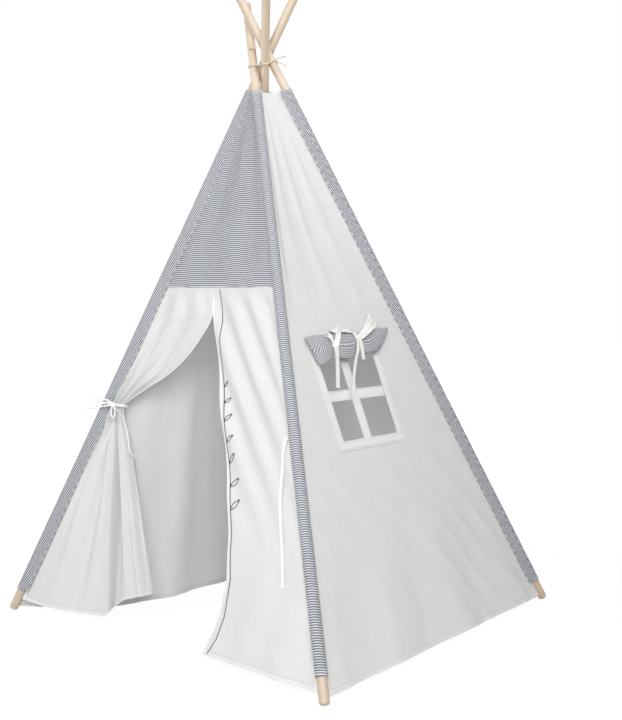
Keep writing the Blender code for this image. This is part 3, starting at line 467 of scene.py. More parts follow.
def declared(made, replaces, flat=None):
    obj, area = made[0], made[3]
    flat = flat or made[2]
    print(obj.name, "cut", round(flat[0], 3), "x", round(flat[1], 3), "m, area", round(area, 4), "m2")
    min(area, flat[0] * flat[1])
    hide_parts(*replaces)


def bends(made, stop, share):
    """Sets each point to its share on the flat cloth, bakes the transform and puts every point back; stop is
    not used.
    """
    obj, cells = made[0], made[1]
    rest = [vert.co.copy() for vert in obj.data.vertices]
    for vert, (s, t) in zip(obj.data.vertices, cells):
        vert.co = (min(1.0, max(0.0, share(s, t))), 0.0, 0.0)
    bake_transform(obj)
    for vert, spot in zip(obj.data.vertices, rest):
        vert.co = spot
    obj.data.update()


def lump(u, v, seed, stretch_u=1.0, stretch_v=1.0):
    """Soft unevenness from -1 to 1 at a place on the cloth."""
    return noise.noise(Vector((u * stretch_u, v * stretch_v, seed)))


def creased(turns):
    """Folds of drawn cloth, one for each whole turn: narrow ridges with wide hollows between them."""
    return 2 * (0.5 + 0.5 * math.sin(math.tau * turns)) ** 1.8 - 0.8


def slanted(arc, run, slant):
    """Flat coordinates on a strip that was cut on the slant."""
    return arc * math.cos(slant) - run * math.sin(slant), arc * math.sin(slant) + run * math.cos(slant)


stitches_off, edge_inset = 0.003, 0.0035


def side_gap(wall, share, height):
    """Distance from the nearer sleeve, and the little that its own stitches are off."""
    first, last = wall.ends(height)
    return min(share, 1 - share) * (last - first).length + stitches_off


# %% [markdown]
# ## Sleeves
# Each sleeve is a strip of ticking sewn into a tube round its pole, with a turned hem at each end. The tube
# is cut as a sheet that wraps the pole, so its stripes can run straight round it, as on the front right
# pole, or wind along it, as on the others, where the strip was cut on the slant.

# %% Striped sleeves on the poles
sleeve_rounds, sleeve_steps = 40, 230
SLANT_DEG = {"front_right": 3.0, "back_right": 76.0, "back_left": 104.0, "front_left": 104.0}
TOP_DROP = {"front_right": 0.011}


def sleeve(pole):
    low, high = pole.at(sleeve_bottom), pole.at(sleeve_top - TOP_DROP.get(pole.name, 0.0))
    length = (high - low).length
    slant = math.radians(SLANT_DEG[pole.name])
    hem_rows = [0.0, 0.001, hem_fold, hem_depth]
    plain = 0.016 / length
    rows = [r / length for r in hem_rows] + spaced(plain, 1 - plain, sleeve_steps)
    rows += [1 - r / length for r in reversed(hem_rows)]

    def place(s, t):
        run = t * length
        angle = math.tau * s
        end = min(run, length - run)
        turned = sleeve_hem * (1 - smooth((end - hem_fold) / 0.001))
        loose = 0.00035 * lump(math.cos(angle), math.sin(angle), run * 38) + 0.0003 * lump(angle, run * 12, 3)
        radius = sleeve_radius + turned + loose * smooth(end / 0.02)
        return low.lerp(high, t) + (pole.out * math.cos(angle) + pole.turn * math.sin(angle)) * radius

    def lay(s, t, _):
        return slanted(math.tau * s * sleeve_radius, t * length, slant)

    def hem(s, t):
        return min(t, 1 - t) * length

    made = cut("sleeve_" + pole.name, spaced(0, 1, sleeve_rounds), rows, place, ticking, hem, lay=lay,
               thickness=sleeve_radius - sleeve_inner)
    bm = bmesh.new()
    bm.from_mesh(made[0].data)
    bmesh.ops.remove_doubles(bm, verts=bm.verts[:], dist=touch_gap / 10)
    for border in bm.edges:
        border.smooth = not border.is_boundary
    bm.to_mesh(made[0].data)
    bm.free()
    declared(made,
             ["casing_" + pole.name])
    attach(made[0], pole.body)


for pole in poles.values():
    sleeve(pole)

# %% [markdown]
# The strip is wider than the pole needs, and the rest is pressed flat and stitched to the wall: from the
# outside the sleeve looks wider than the pole. This flat part leaves the tube on its tangent and ends on
# the cloth.


# %% Flat seam of a sleeve on the wall beside it
def seam_flat(pole, wall, side, width_at):
    """Side 0 lies on the wall's left end and side 1 on its right; width_at gives its width at a height."""
    slant = math.radians(SLANT_DEG[pole.name])
    foot = pole.at(sleeve_bottom)

    def section(height):
        """Tangent point on the tube, sewn point on the wall, and the way round between them."""
        height = min(height, wall_top)
        first, last = wall.ends(height)
        inward = (last - first).normalized() * (1 if side == 0 else -1)
        out = wall.normal(height, float(side))
        axis = pole.at(height)
        stand_off = cloth_thickness + 2 * touch_gap
        sewn = (first if side == 0 else last) + inward * width_at(height) + out * stand_off
        x, y = (sewn - axis).dot(inward), (sewn - axis).dot(out)
        radius = sleeve_radius + touch_gap
        turn = math.atan2(y, x) + math.acos(min(1.0, radius / math.hypot(x, y)))
        return axis + (inward * math.cos(turn) + out * math.sin(turn)) * radius, sewn, axis

    def place(s, t):
        height = mix(sleeve_bottom, sleeve_top, t)
        leave, sewn, _ = section(height)
        puff = 0.0005 * lump(s * 2, t * 60, 3) * math.sin(math.pi * s)
        return leave.lerp(sewn, s) + wall.normal(min(height, wall_top), float(side)) * puff

    def lay(s, t, spot):
        leave, sewn, axis = section(mix(sleeve_bottom, sleeve_top, t))
        start = math.atan2((leave - axis).dot(pole.turn), (leave - axis).dot(pole.out))
        way = 1 if (leave - axis).cross(sewn - leave).dot(pole.up) > 0 else -1
        arc = start * sleeve_radius + way * (spot - leave).length
        return slanted(arc, (spot - foot).dot(pole.up), slant)

    def hem(s, t):
        _, sewn, axis = section(mix(sleeve_bottom, sleeve_top, t))
        return stitch_inset - edge_inset + (1 - s) * (sewn - axis).length

    made = cut("seam_" + pole.name, spaced(0, 1, 8), spaced(0, 1, 220), place, ticking, hem, lay=lay,
               thickness=0.0008)
    declared(made, ["casing_" + pole.name])
    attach(made[0], pole.body)


def back_right_width(height):
    return mix(0.016, 0.008, smooth((height - 0.95) / 0.40))


def front_left_width(height):
    tied = 1 - smooth((abs(height - pinch_height) - 0.014) / 0.05)
    return mix(0.013, 0.0075, smooth((height - 0.95) / 0.40)) * (1 - 0.85 * tied)


seam_flat(poles["back_right"], window_wall, 1, back_right_width)
seam_flat(poles["front_left"], door_wall, 0, front_left_width)

# %% [markdown]
# ## Window wall
# A taut panel between two sleeves. It is cut in two halves that meet at the middle line. The window opening
# is left out of the grid.

# %% Window sizes
window_left, window_right, window_bottom, window_top = -0.160, 0.054, 0.482, 0.727
facing_width, facing_top = 0.021, 0.722
bar_left, bar_width = -0.078, 0.029
cross_bottom, cross_width = 0.5735, 0.0235
bar_tuck = 0.012
window_middle = (window_left + window_right) / 2
print("opening", round(window_right - window_left, 3), "x", round(window_top - window_bottom, 3), "m")


def edge_fade(share):
    """Zero at the sewn sides and under the seam flange, one inside the panel."""
    return smooth((share - 0.02) * 14) * smooth((0.98 - share) * 14)


def window_relief(y, z, share):
    """Folds of the window panel, out from the flat: held still round the window."""
    gap_y = max(window_left - facing_width - y, y - window_right - facing_width, 0.0)
    gap_z = max(window_bottom - facing_width - z, z - facing_top - 0.02, 0.0)
    clear = smooth(math.hypot(gap_y, gap_z) / 0.07)
    above = smooth((z - window_top) / 0.09)
    broad = -0.0125 * math.sin(math.pi * max(0.0, share) ** 0.60) * smooth((z - window_top - 0.04) / 0.25)
    fan = creased(3.9 * share - 0.47 + 0.5 * lump(share, z, 1, 2.5, 1.2)) * 0.0018 * above
    fan *= (1 - 0.7 * smooth((z - 1.10) / 0.2)) * (0.8 + 0.6 * lump(share, z, 8, 3, 3))
    hang = math.sin(math.tau * 3.3 * share + 2.0 + 1.6 * lump(share, z, 1, 3, 2)) * 0.0045
    hang *= 1 - smooth(z / 0.34)
    crumpled = 0.0022 * lump(y, z, 4, 6, 5) + 0.0009 * lump(y, z, 9, 15, 11)
    drawn = creased((y * 0.75 + z * 0.66) / 0.075 + 0.6 * lump(y, z, 12, 5, 5)) * 0.0016
    drawn *= smooth((window_bottom - 0.02 - z) / 0.08) * (0.4 + 0.6 * smooth((y + 0.05) / 0.2))
    corner = creased((math.degrees(math.atan2(z - 0.72, y - 0.075)) - 14) / 26) * 0.0028
    corner *= math.exp(-((math.hypot(y - 0.115, z - 0.70) / 0.05) ** 2))
    folds = (broad + fan + hang + crumpled + drawn) * clear * edge_fade(share)
    return folds + corner * above * edge_fade(share)


# %% Two halves of the window wall
def window_point(share, height, lift):
    y = window_wall.point(height, share).y
    return window_wall.point(height, share, lift + window_relief(y, height, share))


def wall_rows(bottom, stops, top, step):
    """Heights from a turned hem up through the stops."""
    heights = [bottom, bottom + 0.001, bottom + hem_depth, bottom + 0.014]
    for stop in [*stops, top]:
        count = max(1, round((stop - heights[-1]) / step))
        heights += spaced(heights[-1], stop, count)[1:]
    return heights


window_heights = wall_rows(wall_hem, [window_bottom, window_top], wall_top, 0.009)
outer_columns, window_columns = 44, 16
still, follow = 0.10, 0.80


def window_half(name, pole, side):
    """One half of the panel; side 0 runs from the front sleeve to the middle, side 1 from the middle back."""
    outer = window_left if side == 0 else window_right

    def share_at(column, height):
        held = min(window_top, max(window_bottom, height))
        s_edge = window_wall.share_of(Y, outer, held)
        s_middle = window_wall.share_of(Y, window_middle, held)
        if side == 0:
            return mix(0, s_edge, column) if column <= 1 else mix(s_edge, s_middle, column - 1)
        return mix(s_middle, s_edge, column) if column <= 1 else mix(s_edge, 1, column - 1)

    columns = spaced(0, 1, outer_columns if side == 0 else window_columns)
    columns += spaced(1, 2, window_columns if side == 0 else outer_columns)[1:]

    def place(column, height):
        turned = 0.0004 * (1 - smooth((height - wall_hem - hem_depth) / 0.0015))
        return window_point(share_at(column, height), height, turned)

    def hem(column, height):
        return min(height - wall_hem, side_gap(window_wall, share_at(column, height), height))

    def keep(column, height):
        inside = column > 1 if side == 0 else column < 1
        return not (inside and window_bottom < height < window_top)

    made = cut(name, columns, window_heights, place, white_cotton, hem, keep)
    declared(made, ["wall_window"])
    bends(made, "pole_" + pole,
          lambda column, _: ((1 - still) - column if side == 0 else column - (1 + still)) / follow)


window_half("window_wall_front", "front_right", 0)
window_half("window_wall_back", "back_right", 1)

# %% [markdown]
# ## Window facing and glazing bars
# A folded band is stitched round the opening on the outside, its corners mitred, and two bands cross it on
# the inside. Each has two rows of stitches, so the distance to the nearer edge is kept as the hem.

# %% Facing and bars
face_lift = touch_gap + cloth_thickness
bar_lift = -cloth_thickness - touch_gap
cross_lift = bar_lift - cloth_thickness - touch_gap


def on_window(y, z, lift):
    return window_wall.at_coordinate(Y, y, z, lift)


def window_band(name, node, ys, zs, lift, way, rise_run, bumps, inset):
    """A stitched band that puffs outward for way 1 and inward for -1, in full from rise_run off its edge."""
    def gap(y, z):
        return min(y - ys[0], ys[-1] - y) if len(ys) < len(zs) else min(z - zs[0], zs[-1] - z)

    def place(y, z):
        puff = 0.0003 * smooth(gap(y, z) / rise_run) + 0.0005 * lump(y, z, *bumps) ** 2
        return on_window(y, z, lift + way * puff)

    made = cut(name, ys, zs, place, facing_cotton, lambda y, z: stitch_inset - inset + gap(y, z))
    declared(made, [node])
    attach(made[0], "cover")


outside = (face_lift, 1, facing_width / 6, (2, 60, 60), edge_inset)
inside = (-1, 0.003, (6, 50, 50), stitches_off)
facing_heights = spaced(window_bottom, facing_top, 50)
window_band("facing_left", "window_facing", spaced(window_left - facing_width, window_left, 8),
            facing_heights, *outside)
window_band("facing_right", "window_facing", spaced(window_right, window_right + facing_width, 8),
            facing_heights, *outside)
window_band("facing_bottom", "window_facing",
            spaced(window_left - facing_width, window_right + facing_width, 54),
            spaced(window_bottom - facing_width, window_bottom, 8), *outside)
window_band("bar_upright", "window_bar_upright", spaced(bar_left, bar_left + bar_width, 10),
            spaced(window_bottom - bar_tuck, window_top + bar_tuck, 60), bar_lift, *inside)
window_band("bar_cross", "window_bar_cross", spaced(window_left - bar_tuck, window_right + bar_tuck, 60),
            spaced(cross_bottom, cross_bottom + cross_width, 8), cross_lift, *inside)

# %% [markdown]
# ## Back and left walls
# These panels hang slack: their hems swing inward between the poles, and soft upright folds run up from the
# hem. Each is again two halves that meet at the middle.

# %% Slack walls
side_sag_top = 0.85
side_hem = 0.006
fold_size = 0.006
slack_heights = wall_rows(side_hem, [], wall_top, 0.012)


def slack_point(wall, share, height, sag, power, folds, clearance, seed):
    fall = 1 - (height - side_hem) / (side_sag_top - side_hem)
    slack = sag * max(0.0, fall)
    wave = fold_size * math.sin(math.tau * folds * share) * math.sin(math.pi * share) * smooth(fall)
    wave += (0.011 * lump(share, height, seed, 9, 1.2) + 0.002 * lump(share, height, seed + 5, 22, 9)) \
        * edge_fade(share) * (0.35 + 0.65 * smooth(fall))
    depth = slack * (1 - abs(2 * share - 1) ** power) + wave
    level_out = wall.normal(height, share)
    level_out = Vector((level_out.x, level_out.y, 0.0)).normalized()
    return wall.point(height, share, 0.0, clearance) - level_out * depth


def slack_half(name, node, wall, side, *slack):
    """Side 0 is the half at the wall's left pole; slack is what slack_point needs after the height."""
    pole = wall.left if side == 0 else wall.right

    def place(share, height):
        return slack_point(wall, share, height, *slack)

    def hem(share, height):
        return min(height - side_hem, side_gap(wall, share, height))

    columns = spaced(0, 0.5, 46) if side == 0 else spaced(0.5, 1, 46)
    made = cut(name, columns, slack_heights, place, white_cotton, hem)
    declared(made, [node])
    bends(made, pole.body, lambda share, _: 1 - share * 2 if side == 0 else share * 2 - 1)


rear_slack = (0.06, 2.4, 4, 2 * touch_gap, 21)
side_slack = (0.255, 3.5, 5, touch_gap + cloth_thickness, 33)
slack_half("back_wall_right", "wall_back", rear_wall, 0, *rear_slack)
slack_half("back_wall_left", "wall_back", rear_wall, 1, *rear_slack)
slack_half("left_wall_back", "wall_left", side_wall, 0, *side_slack)
slack_half("left_wall_front", "wall_left", side_wall, 1, *side_slack)

# %% [markdown]
# ## Header
# The striped piece over the doorway is cut with its stripes level. It is drawn a little by the flaps below,
# so a soft fold runs down it towards the front right pole and its stripes waver.

# %% Header in two halves that meet where the flaps meet
meet_x, meet_level = -0.050, 1.15
header_follow = 1.12


def header_relief(share, height):
    fold = 0.0035 * math.sin(math.tau * (2.1 * share + 0.15 * lump(share, height, 2, 2, 6) + 0.1))
    pucker = 0.0016 * lump(share, height, 7, 16, 9)
    top = 1 - 0.5 * smooth((height - 1.1) / 0.2)
    seam = smooth((height - header_seam - 0.002) / 0.05)
    return (fold * top + pucker) * edge_fade(share) * seam


def header_half(name, side):
    pole = door_wall.left if side == 0 else door_wall.right

    def share_at(column, height):
        met = door_wall.share_of(X, meet_x, min(height, meet_level))
        middle = mix(met, 0.5, smooth((height - meet_level) / 0.2))
        return mix(0, middle, column) if side == 0 else mix(middle, 1, column)

    def place(column, height):
        share = share_at(column, height)
        return door_wall.point(height, share, header_relief(share, height))

    def lay(column, height, spot):
        share = share_at(column, height)
        waver = 0.0026 * math.sin(math.tau * 1.3 * share + 5 * height)
        waver += 0.0030 * lump(share, height, 5, 7, 11)
        waver += 0.0035 * math.exp(-((share - 0.74) / 0.06) ** 2) * (0.6 + lump(share, height, 9, 2, 16))
        return spot.x, spot.z * 1.05 + waver

    def hem(column, height):
        return min(height - header_seam + 0.0065, side_gap(door_wall, share_at(column, height), height))

    heights = wall_rows(header_seam, [], wall_top, 0.008)
    made = cut(name, spaced(0, 1, 40), heights, place, ticking, hem, lay=lay)
    declared(made, ["header_panel"])
    bends(made, pole.body, lambda column, _: header_follow * (1 - column if side == 0 else column))


header_half("header_left", 0)
header_half("header_right", 1)

# %% [markdown]
# ## Right door flap
# One cloth that is sewn along the pole and open at its other side. The part beside the pole stays put and
# the leaf in front of the doorway swings on a straight line, so it is made as two sheets that share that
# line and the same folds. Tension folds run from the top corner down to where the tape is sewn to the seam.

# %% Fold line, free edge and folds of the right flap
flap_lift = -cloth_thickness - touch_gap
fold_top_x, fold_bottom_x = -0.025, 0.385
fold_top = door_wall.at_coordinate(X, fold_top_x, header_seam, flap_lift)
fold_bottom = door_wall.at_coordinate(X, fold_bottom_x, flap_hem, flap_lift)
loose_top = header_seam - touch_gap
FREE_EDGE = ((-0.056, 1.000), (-0.024, 0.907), (0.048, 0.700), (0.131, 0.461), (0.170, 0.320),
             (0.187, 0.206), (0.182, 0.110), (0.165, 0.045), (0.151, 0.000))


def fold_point(height):
    return fold_bottom.lerp(fold_top, (height - flap_hem) / (header_seam - flap_hem))


def along_table(stations, place):
    """Value at a place on the line through a table of (value, place) with falling places."""
    for (value, high), (after, low) in zip(stations, stations[1:]):
        if place >= low:
            return mix(after, value, (place - low) / (high - low))
    return stations[-1][0]


def leaf_level(height):
    return (height - flap_hem) / (loose_top - flap_hem)


def free_edge(height):
    return along_table(FREE_EDGE, leaf_level(height))


def flap_relief(x, z):
    """Folds of the right flap, out from its flat."""
    across = x + 0.8 * z + 0.006 * lump(x, z, 3, 3, 3)
    wave = math.cos(math.tau * (across - 0.587) / 0.078)
    tension = 0.0046 * wave * smooth((z - 0.20) / 0.34) * (0.85 + 0.6 * lump(x, z, 5, 4, 4))
    hang = 0.0020 * math.sin(math.tau * x / 0.12 + 1.7 * lump(x, z, 8, 2, 2))
    hang *= 1 - smooth((z - 0.05) / 0.45)
    crumpled = 0.0012 * lump(x, z, 6, 12, 7)
    return (tension + hang + crumpled) * smooth((header_seam - z) / 0.05)


# %% Sewn strip and loose leaf
corner_pull, leaf_blend = 0.018, 0.22


def sewn_point(share, height, lift=0.0):
    inner = fold_point(min(height, header_seam))
    if height > header_seam:
        inner = door_wall.at_coordinate(X, fold_top_x, height, flap_lift)
    edge = door_wall.point(height, 1.0, flap_lift)
    spot = inner.lerp(edge, share)
    calm = smooth((1 - share) * 6)
    return spot + door_wall.normal(height, 0.8) * (flap_relief(spot.x, height) * calm + lift)


def leaf_point(share, height, lift=0.0):
    free = door_wall.at_coordinate(X, free_edge(height), height, flap_lift)
    free = free + Vector((0, corner_pull * (1 - smooth(leaf_level(height) * 3)), 0))
    spot = free.lerp(fold_point(height), share)
    return spot + door_wall.normal(height, 0.7) * (flap_relief(spot.x, height) + lift)


flap_heights = wall_rows(flap_hem, [], header_seam, 0.0085)
tuck_heights = flap_heights + [header_seam + flap_tuck / 2, header_seam + flap_tuck]
leaf_heights = flap_heights[:-1] + [loose_top]
slope_length = (door_wall.point(1.0, 0.5) - door_wall.point(0.0, 0.5)).length


def sewn_hem(share, height):
    width = (door_wall.point(height, 1.0) - fold_point(min(height, header_seam))).length
    return min(height - flap_hem, (1 - share) * width + stitches_off)


def leaf_hem(share, height):
    width = (fold_point(height) - door_wall.at_coordinate(X, free_edge(height), height)).length
    return min(height - flap_hem, share * width + 0.002)


strip = cut("flap_right_strip", spaced(0, 1, 44), tuck_heights, sewn_point, white_cotton, sewn_hem)
declared(strip, ["door_flap_right_sewn"])
bends(strip, "pole_front_right", lambda share, _: share)
leaf = cut("flap_right_leaf", spaced(0, 1, 36), leaf_heights, leaf_point, white_cotton, leaf_hem)
upright_length = (loose_top - flap_hem) * slope_length
declared(leaf, ["door_flap_right_loose"],
         flat=(leaf[2][0], upright_length))
bends(leaf, "door_leaf", lambda share, _: (1 - share) / leaf_blend)

# %% [markdown]
# A dark thread is sewn along the free edge and drawn out into leaves. It could be painted in the cloth's
# finish, but a narrow band on the same surface throws its own small shadow.

# %% Stitched line along the free edge, with a leafy sprig
STITCH_INSET = ((0.028, 0.836), (0.027, 0.760), (0.017, 0.710), (0.012, 0.640), (0.012, 0.570),
                (0.009, 0.480), (0.009, 0.400), (0.011, 0.310), (0.009, 0.250), (0.015, 0.125),
                (0.020, 0.060), (0.014, 0.024))
line_width, line_lift, line_thickness = 0.0018, 0.0007, 0.0003
line_low, line_high = STITCH_INSET[-1][1], STITCH_INSET[0][1]
SPRIG = ((0.335, 34, 0.030), (0.385, 46, 0.029), (0.435, 32, 0.027), (0.480, 44, 0.024), (0.525, 30, 0.023),
         (0.568, 42, 0.019), (0.605, 30, 0.016))
leaf_slim = 0.17


def leaf_share(x, height):
    free = free_edge(height)
    return (x - free) / (fold_point(height).x - free)


def line_x(height):
    return free_edge(height) + along_table(STITCH_INSET, height)


def on_leaf(x, height):
    return leaf_point(leaf_share(x, height), height, line_lift)


def drawn_on_leaf(name, rows, spot):
    """A narrow band of thread; spot(across, along) gives its x and height on the leaf."""
    made = cut(name, [0.0, 1.0], rows, lambda s, t: on_leaf(*spot(s, t)), thread_and_shade_cotton,
               thickness=line_thickness)
    bends(made, "door_leaf", lambda s, t: (1 - leaf_share(*spot(s, t))) / leaf_blend)


drawn_on_leaf("leaf_stitch", spaced(line_low, line_high, 170),
              lambda s, t: (line_x(t) + line_width * (0.5 - s), t))
for number, (base, tilt_deg, length) in enumerate(SPRIG):
    def outline(s, t, base=base, tilt=math.radians(tilt_deg), length=length):
        run = 1 - abs(2 * t - 1)
        side = 1 if t < 0.5 else -1
        grown = line_width * (s - 0.5)
        along = length * run + grown * (2 * run - 1)
        off = side * (length * leaf_slim * math.sin(math.pi * run ** 0.85) + grown)
        return (line_x(base) + along * math.sin(tilt) + off * math.cos(tilt),
                base + along * math.cos(tilt) - off * math.sin(tilt))

    drawn_on_leaf("leaf_sprig_" + str(number), spaced(0.0, 1.0, 44), outline)
print("stitched line", round(line_high - line_low, 3), "m high, with", len(SPRIG), "leaves")

# %% [markdown]
# ## Left door flap
# The left flap is gathered to its pole by a tape. Above the tape it is drawn over in long soft folds, in
# the tape it is pressed into deep narrow pleats, and below it the pleats open and fall to the floor.

# %% Left flap
pinch_width, pinch_half = 0.042, 0.007
pinch_amplitude, pinch_folds = 0.0065, 3
left_top = header_seam + flap_tuck
sag_clearance = touch_gap + cloth_thickness
meet_gap, meet_low_height, meet_share = 0.001, 0.778, 0.25
UPPER_FREE = ((0.333, -0.045, 0.752, 0.003), (0.5, -0.100, 0.698, 0.006), (0.667, -0.160, 0.647, 0.008),
              (0.833, -0.222, 0.595, 0.009))
HEM = ((-0.497, -0.466, 0.030), (-0.460, -0.462, 0.024), (-0.420, -0.455, 0.020), (-0.372, -0.440, 0.017),
       (-0.330, -0.425, 0.015), (-0.290, -0.408, 0.013), (-0.262, -0.392, 0.012), (-0.256, -0.372, 0.020),
       (-0.262, -0.352, 0.030), (-0.244, -0.342, 0.042), (-0.225, -0.335, 0.050), (-0.207, -0.329, 0.056),
       (-0.190, -0.325, 0.060), (-0.182, -0.312, 0.063), (-0.176, -0.300, 0.065))
door_across = (door_wall.right.at(pinch_height) - door_wall.left.at(pinch_height)).normalized()
door_out = door_wall.normal(pinch_height, 0.0)
door_climb = door_out.cross(door_across).normalized()
pinch_start = door_wall.point(pinch_height, 0.0, flap_lift, sag_clearance)


def on_curve(points, share):
    """Point on a smooth curve through a few stations, at a share of its stations."""
    spans = len(points) - 1
    place = min(1.0, max(0.0, share)) * spans
    index = min(int(place), spans - 1)
    local = place - index
    p0, p1, p2 = points[max(index - 1, 0)], points[index], points[index + 1]
    p3 = points[min(index + 2, spans)]
    bend = (p0 * 2 - p1 * 5 + p2 * 4 - p3) * local ** 2 + (p1 * 3 - p0 - p2 * 3 + p3) * local ** 3
    return (p1 * 2 + (p2 - p0) * local + bend) / 2


def pinch_point(share):
    phase = math.tau * share * pinch_folds
    swing = pinch_amplitude * math.sin(phase) * smooth(share * 6) * smooth((1 - share) * 8 + 0.35)
    fine = 0.0022 * math.sin(phase * 3 + 0.7) * smooth(share * 8) * smooth((1 - share) * 8)
    return pinch_start + door_across * (pinch_width * share) \
        + door_out * (swing + fine - pinch_amplitude * smooth(share * 5))


def pinch_chord(share):
    """The straight line that the pleats in the tape swing about."""
    return pinch_point(0.0).lerp(pinch_point(1.0), share)


pinch_step = door_wall.left.up * (pinch_half / door_wall.left.up.z)
pinch_high = pinch_point(1.0) + pinch_step


def upper_free_line():
    stations = []
    for share in (0.0, 0.083, 0.167, meet_share):
        height = mix(left_top, meet_low_height, share / meet_share)
        stations.append((share, door_wall.at_coordinate(X, free_edge(height) - meet_gap, height, flap_lift)))
    for share, x, z, back in UPPER_FREE:
        stations.append((share, door_wall.at_coordinate(X, x, z, flap_lift - back)))
    return stations + [(1.0, pinch_high)]


def sag(share):
    """How far the drawn edge hangs below the straight line to the tape."""
    return Vector((0, 0, free_sag * math.sin(math.pi * smooth((share - 0.20) / 0.80) ** 0.9)))


free_sag = 0.027
free_line = [(share, spot - sag(share)) for share, spot in upper_free_line()]


def free_at(fall):
    """Point of the free edge: straight down beside the right flap, then one smooth bow to the tape."""
    last = len(free_line) - 2
    index = next((i for i in range(last + 1) if fall <= free_line[i + 1][0]), last)
    (low, first), (high, second) = free_line[index], free_line[index + 1]
    local = (fall - low) / (high - low)
    if low < meet_share:
        return first.lerp(second, local)
    low_before, before = free_line[index - 1] if low > meet_share else (low, first)
    high_after, after = free_line[min(index + 2, last + 1)]
    leave = (second - before) * ((high - low) / (high - low_before))
    reach = (after - first) * ((high - low) / (high_after - low))
    square, cube = local ** 2, local ** 3
    return first * (2 * cube - 3 * square + 1) + leave * (cube - 2 * square + local) \
        + second * (3 * square - 2 * cube) + reach * (cube - square)


hem_points = [Vector(point) for point in HEM]
hem_points[0] = door_wall.point(HEM[0][2], 0.0, flap_lift, sag_clearance)


def left_point(share, place):
    """Point of the left flap: place runs from -1 at the hem through 0 at the tape to 1 at the header."""
    pinch = pinch_point(share)
    free_run = (1 - share) * (0.045 + 0.30 * abs(place))
    groove = 0.0032 * math.exp(-((free_run - 0.0125) / 0.0030) ** 2) * (1 - 0.35 * math.sin(place * 260))
    roll = 0.0026 * max(0.0, 1 - ((free_run - 0.0045) / 0.0055) ** 2)
    if place >= 0:
        fall = 1 - place
        height = mix(left_top, pinch_height + pinch_half, fall)
        start = door_wall.point(height, 0.0, flap_lift, sag_clearance)
        gather = smooth(fall ** 1.5)
        pleat = pinch - pinch_chord(share)
        draw = 0.0035 * math.sin(math.tau * (2.6 * share + 0.4 * place))
        draw += 0.0018 * lump(share, place, 4, 9, 5)
        draw *= smooth(share * 8) * smooth((1 - share) * 12) * smooth(place * 6)
        below = smooth((header_seam - 0.001 - height) / 0.05)
        return start.lerp(free_at(fall), share) + (pleat * gather + door_out * (draw - groove + roll)) * below
    fall = -place
    top = pinch_chord(share) - pinch_step
    spot = top.lerp(on_curve(hem_points, share), fall)
    opened = (1 - smooth(fall * 1.6)) * (pinch - pinch_chord(share))
    wave = 0.011 * math.sin(math.tau * pinch_folds * share) * math.sin(math.pi * share)
    fan = 0.0056 * math.sin(math.tau * (6.2 * share + 0.12 * fall)) * smooth(fall * 4) * (1 - 0.35 * fall)
    fan += 0.0022 * lump(share, fall, 9, 24, 2.2)
    fan *= smooth(share * 8) * smooth((1 - share) * 14)
    bulge = 0.005 * smooth(fall / 0.28) * (1 - smooth((fall - 0.30) / 0.65)) * smooth((share - 0.55) / 0.45)
    hem = (roll - groove) * smooth(fall * 6)
    return spot + opened + Vector((0.78, 0.63, 0)) * bulge \
        + door_out * (wave * math.sin(math.pi * fall) + fan * smooth(fall * 5) + hem)


def left_hem(share, place):
    height = (1 + place) * 0.55 if place < 0 else 1.0
    open_side = (1 - share) * (0.045 + 0.30 * abs(place)) + 0.002
    sewn_side = share * (0.045 + 0.30 * abs(place)) + 0.003
    return min(height, open_side, sewn_side)


left_places = [-1.0, -0.998, -0.976, -0.973] + spaced(-0.965, 0, 62) + spaced(0, 1, 48)[1:]
left_columns = spaced(0, 0.93, 112) + spaced(0.93, 1, 26)[1:]
flap_left = cut("flap_left", left_columns, left_places, left_point, white_cotton, left_hem)
declared(flap_left, ["door_flap_left"])


def left_share(share, place):
    """One everywhere but near the top corner, where the flap is sewn to the middle of the header: there it
    falls across the flap.
    """
    return 1 - smooth((place - 0.35) / 0.65) * share if place > 0 else 1.0


bends(flap_left, "pole_front_left", left_share)

# %% [markdown]
# ## Rolled blind
# The blind is a piece of ticking sewn above the window and rolled up, held by two tapes. Here it is one sheet
# wound into a flat spiral and squeezed where the tapes hold it. The photo doesn't show how often the real one
# is rolled, so its two turns are a guess.

# %% Blind
blind_stand = 2 * touch_gap + cloth_thickness
BLIND = (
    (-0.189, 0.7230, 0.6540, 0.0085, 0.0006), (-0.178, 0.7238, 0.6525, 0.0135, 0.0003),
    (-0.160, 0.7245, 0.6535, 0.0200, 0.0000), (-0.145, 0.7245, 0.6570, 0.0225, 0.0000),
    (-0.128, 0.7242, 0.6620, 0.0205, 0.0012), (-0.113, 0.7235, 0.6690, 0.0180, 0.0020),
    (-0.098, 0.7242, 0.6640, 0.0205, 0.0012), (-0.083, 0.7250, 0.6610, 0.0235, 0.0000),
    (-0.065, 0.7255, 0.6590, 0.0240, 0.0000), (-0.048, 0.7250, 0.6620, 0.0230, 0.0002),
    (-0.033, 0.7242, 0.6690, 0.0205, 0.0012), (-0.018, 0.7235, 0.6760, 0.0180, 0.0020),
    (-0.003, 0.7250, 0.6730, 0.0205, 0.0018), (0.015, 0.7275, 0.6700, 0.0240, 0.0010),
    (0.045, 0.7300, 0.6735, 0.0245, 0.0010), (0.070, 0.7320, 0.6840, 0.0215, 0.0030),
    (0.090, 0.7335, 0.6960, 0.0175, 0.0050), (0.108, 0.7340, 0.7090, 0.0125, 0.0065),
    (0.120, 0.7345, 0.7190, 0.0085, 0.0075), (0.129, 0.7345, 0.7270, 0.0050, 0.0080),
)
TIED_Y = (-0.113, -0.018)
blind_turns = 2.0
layer_step = 0.0021


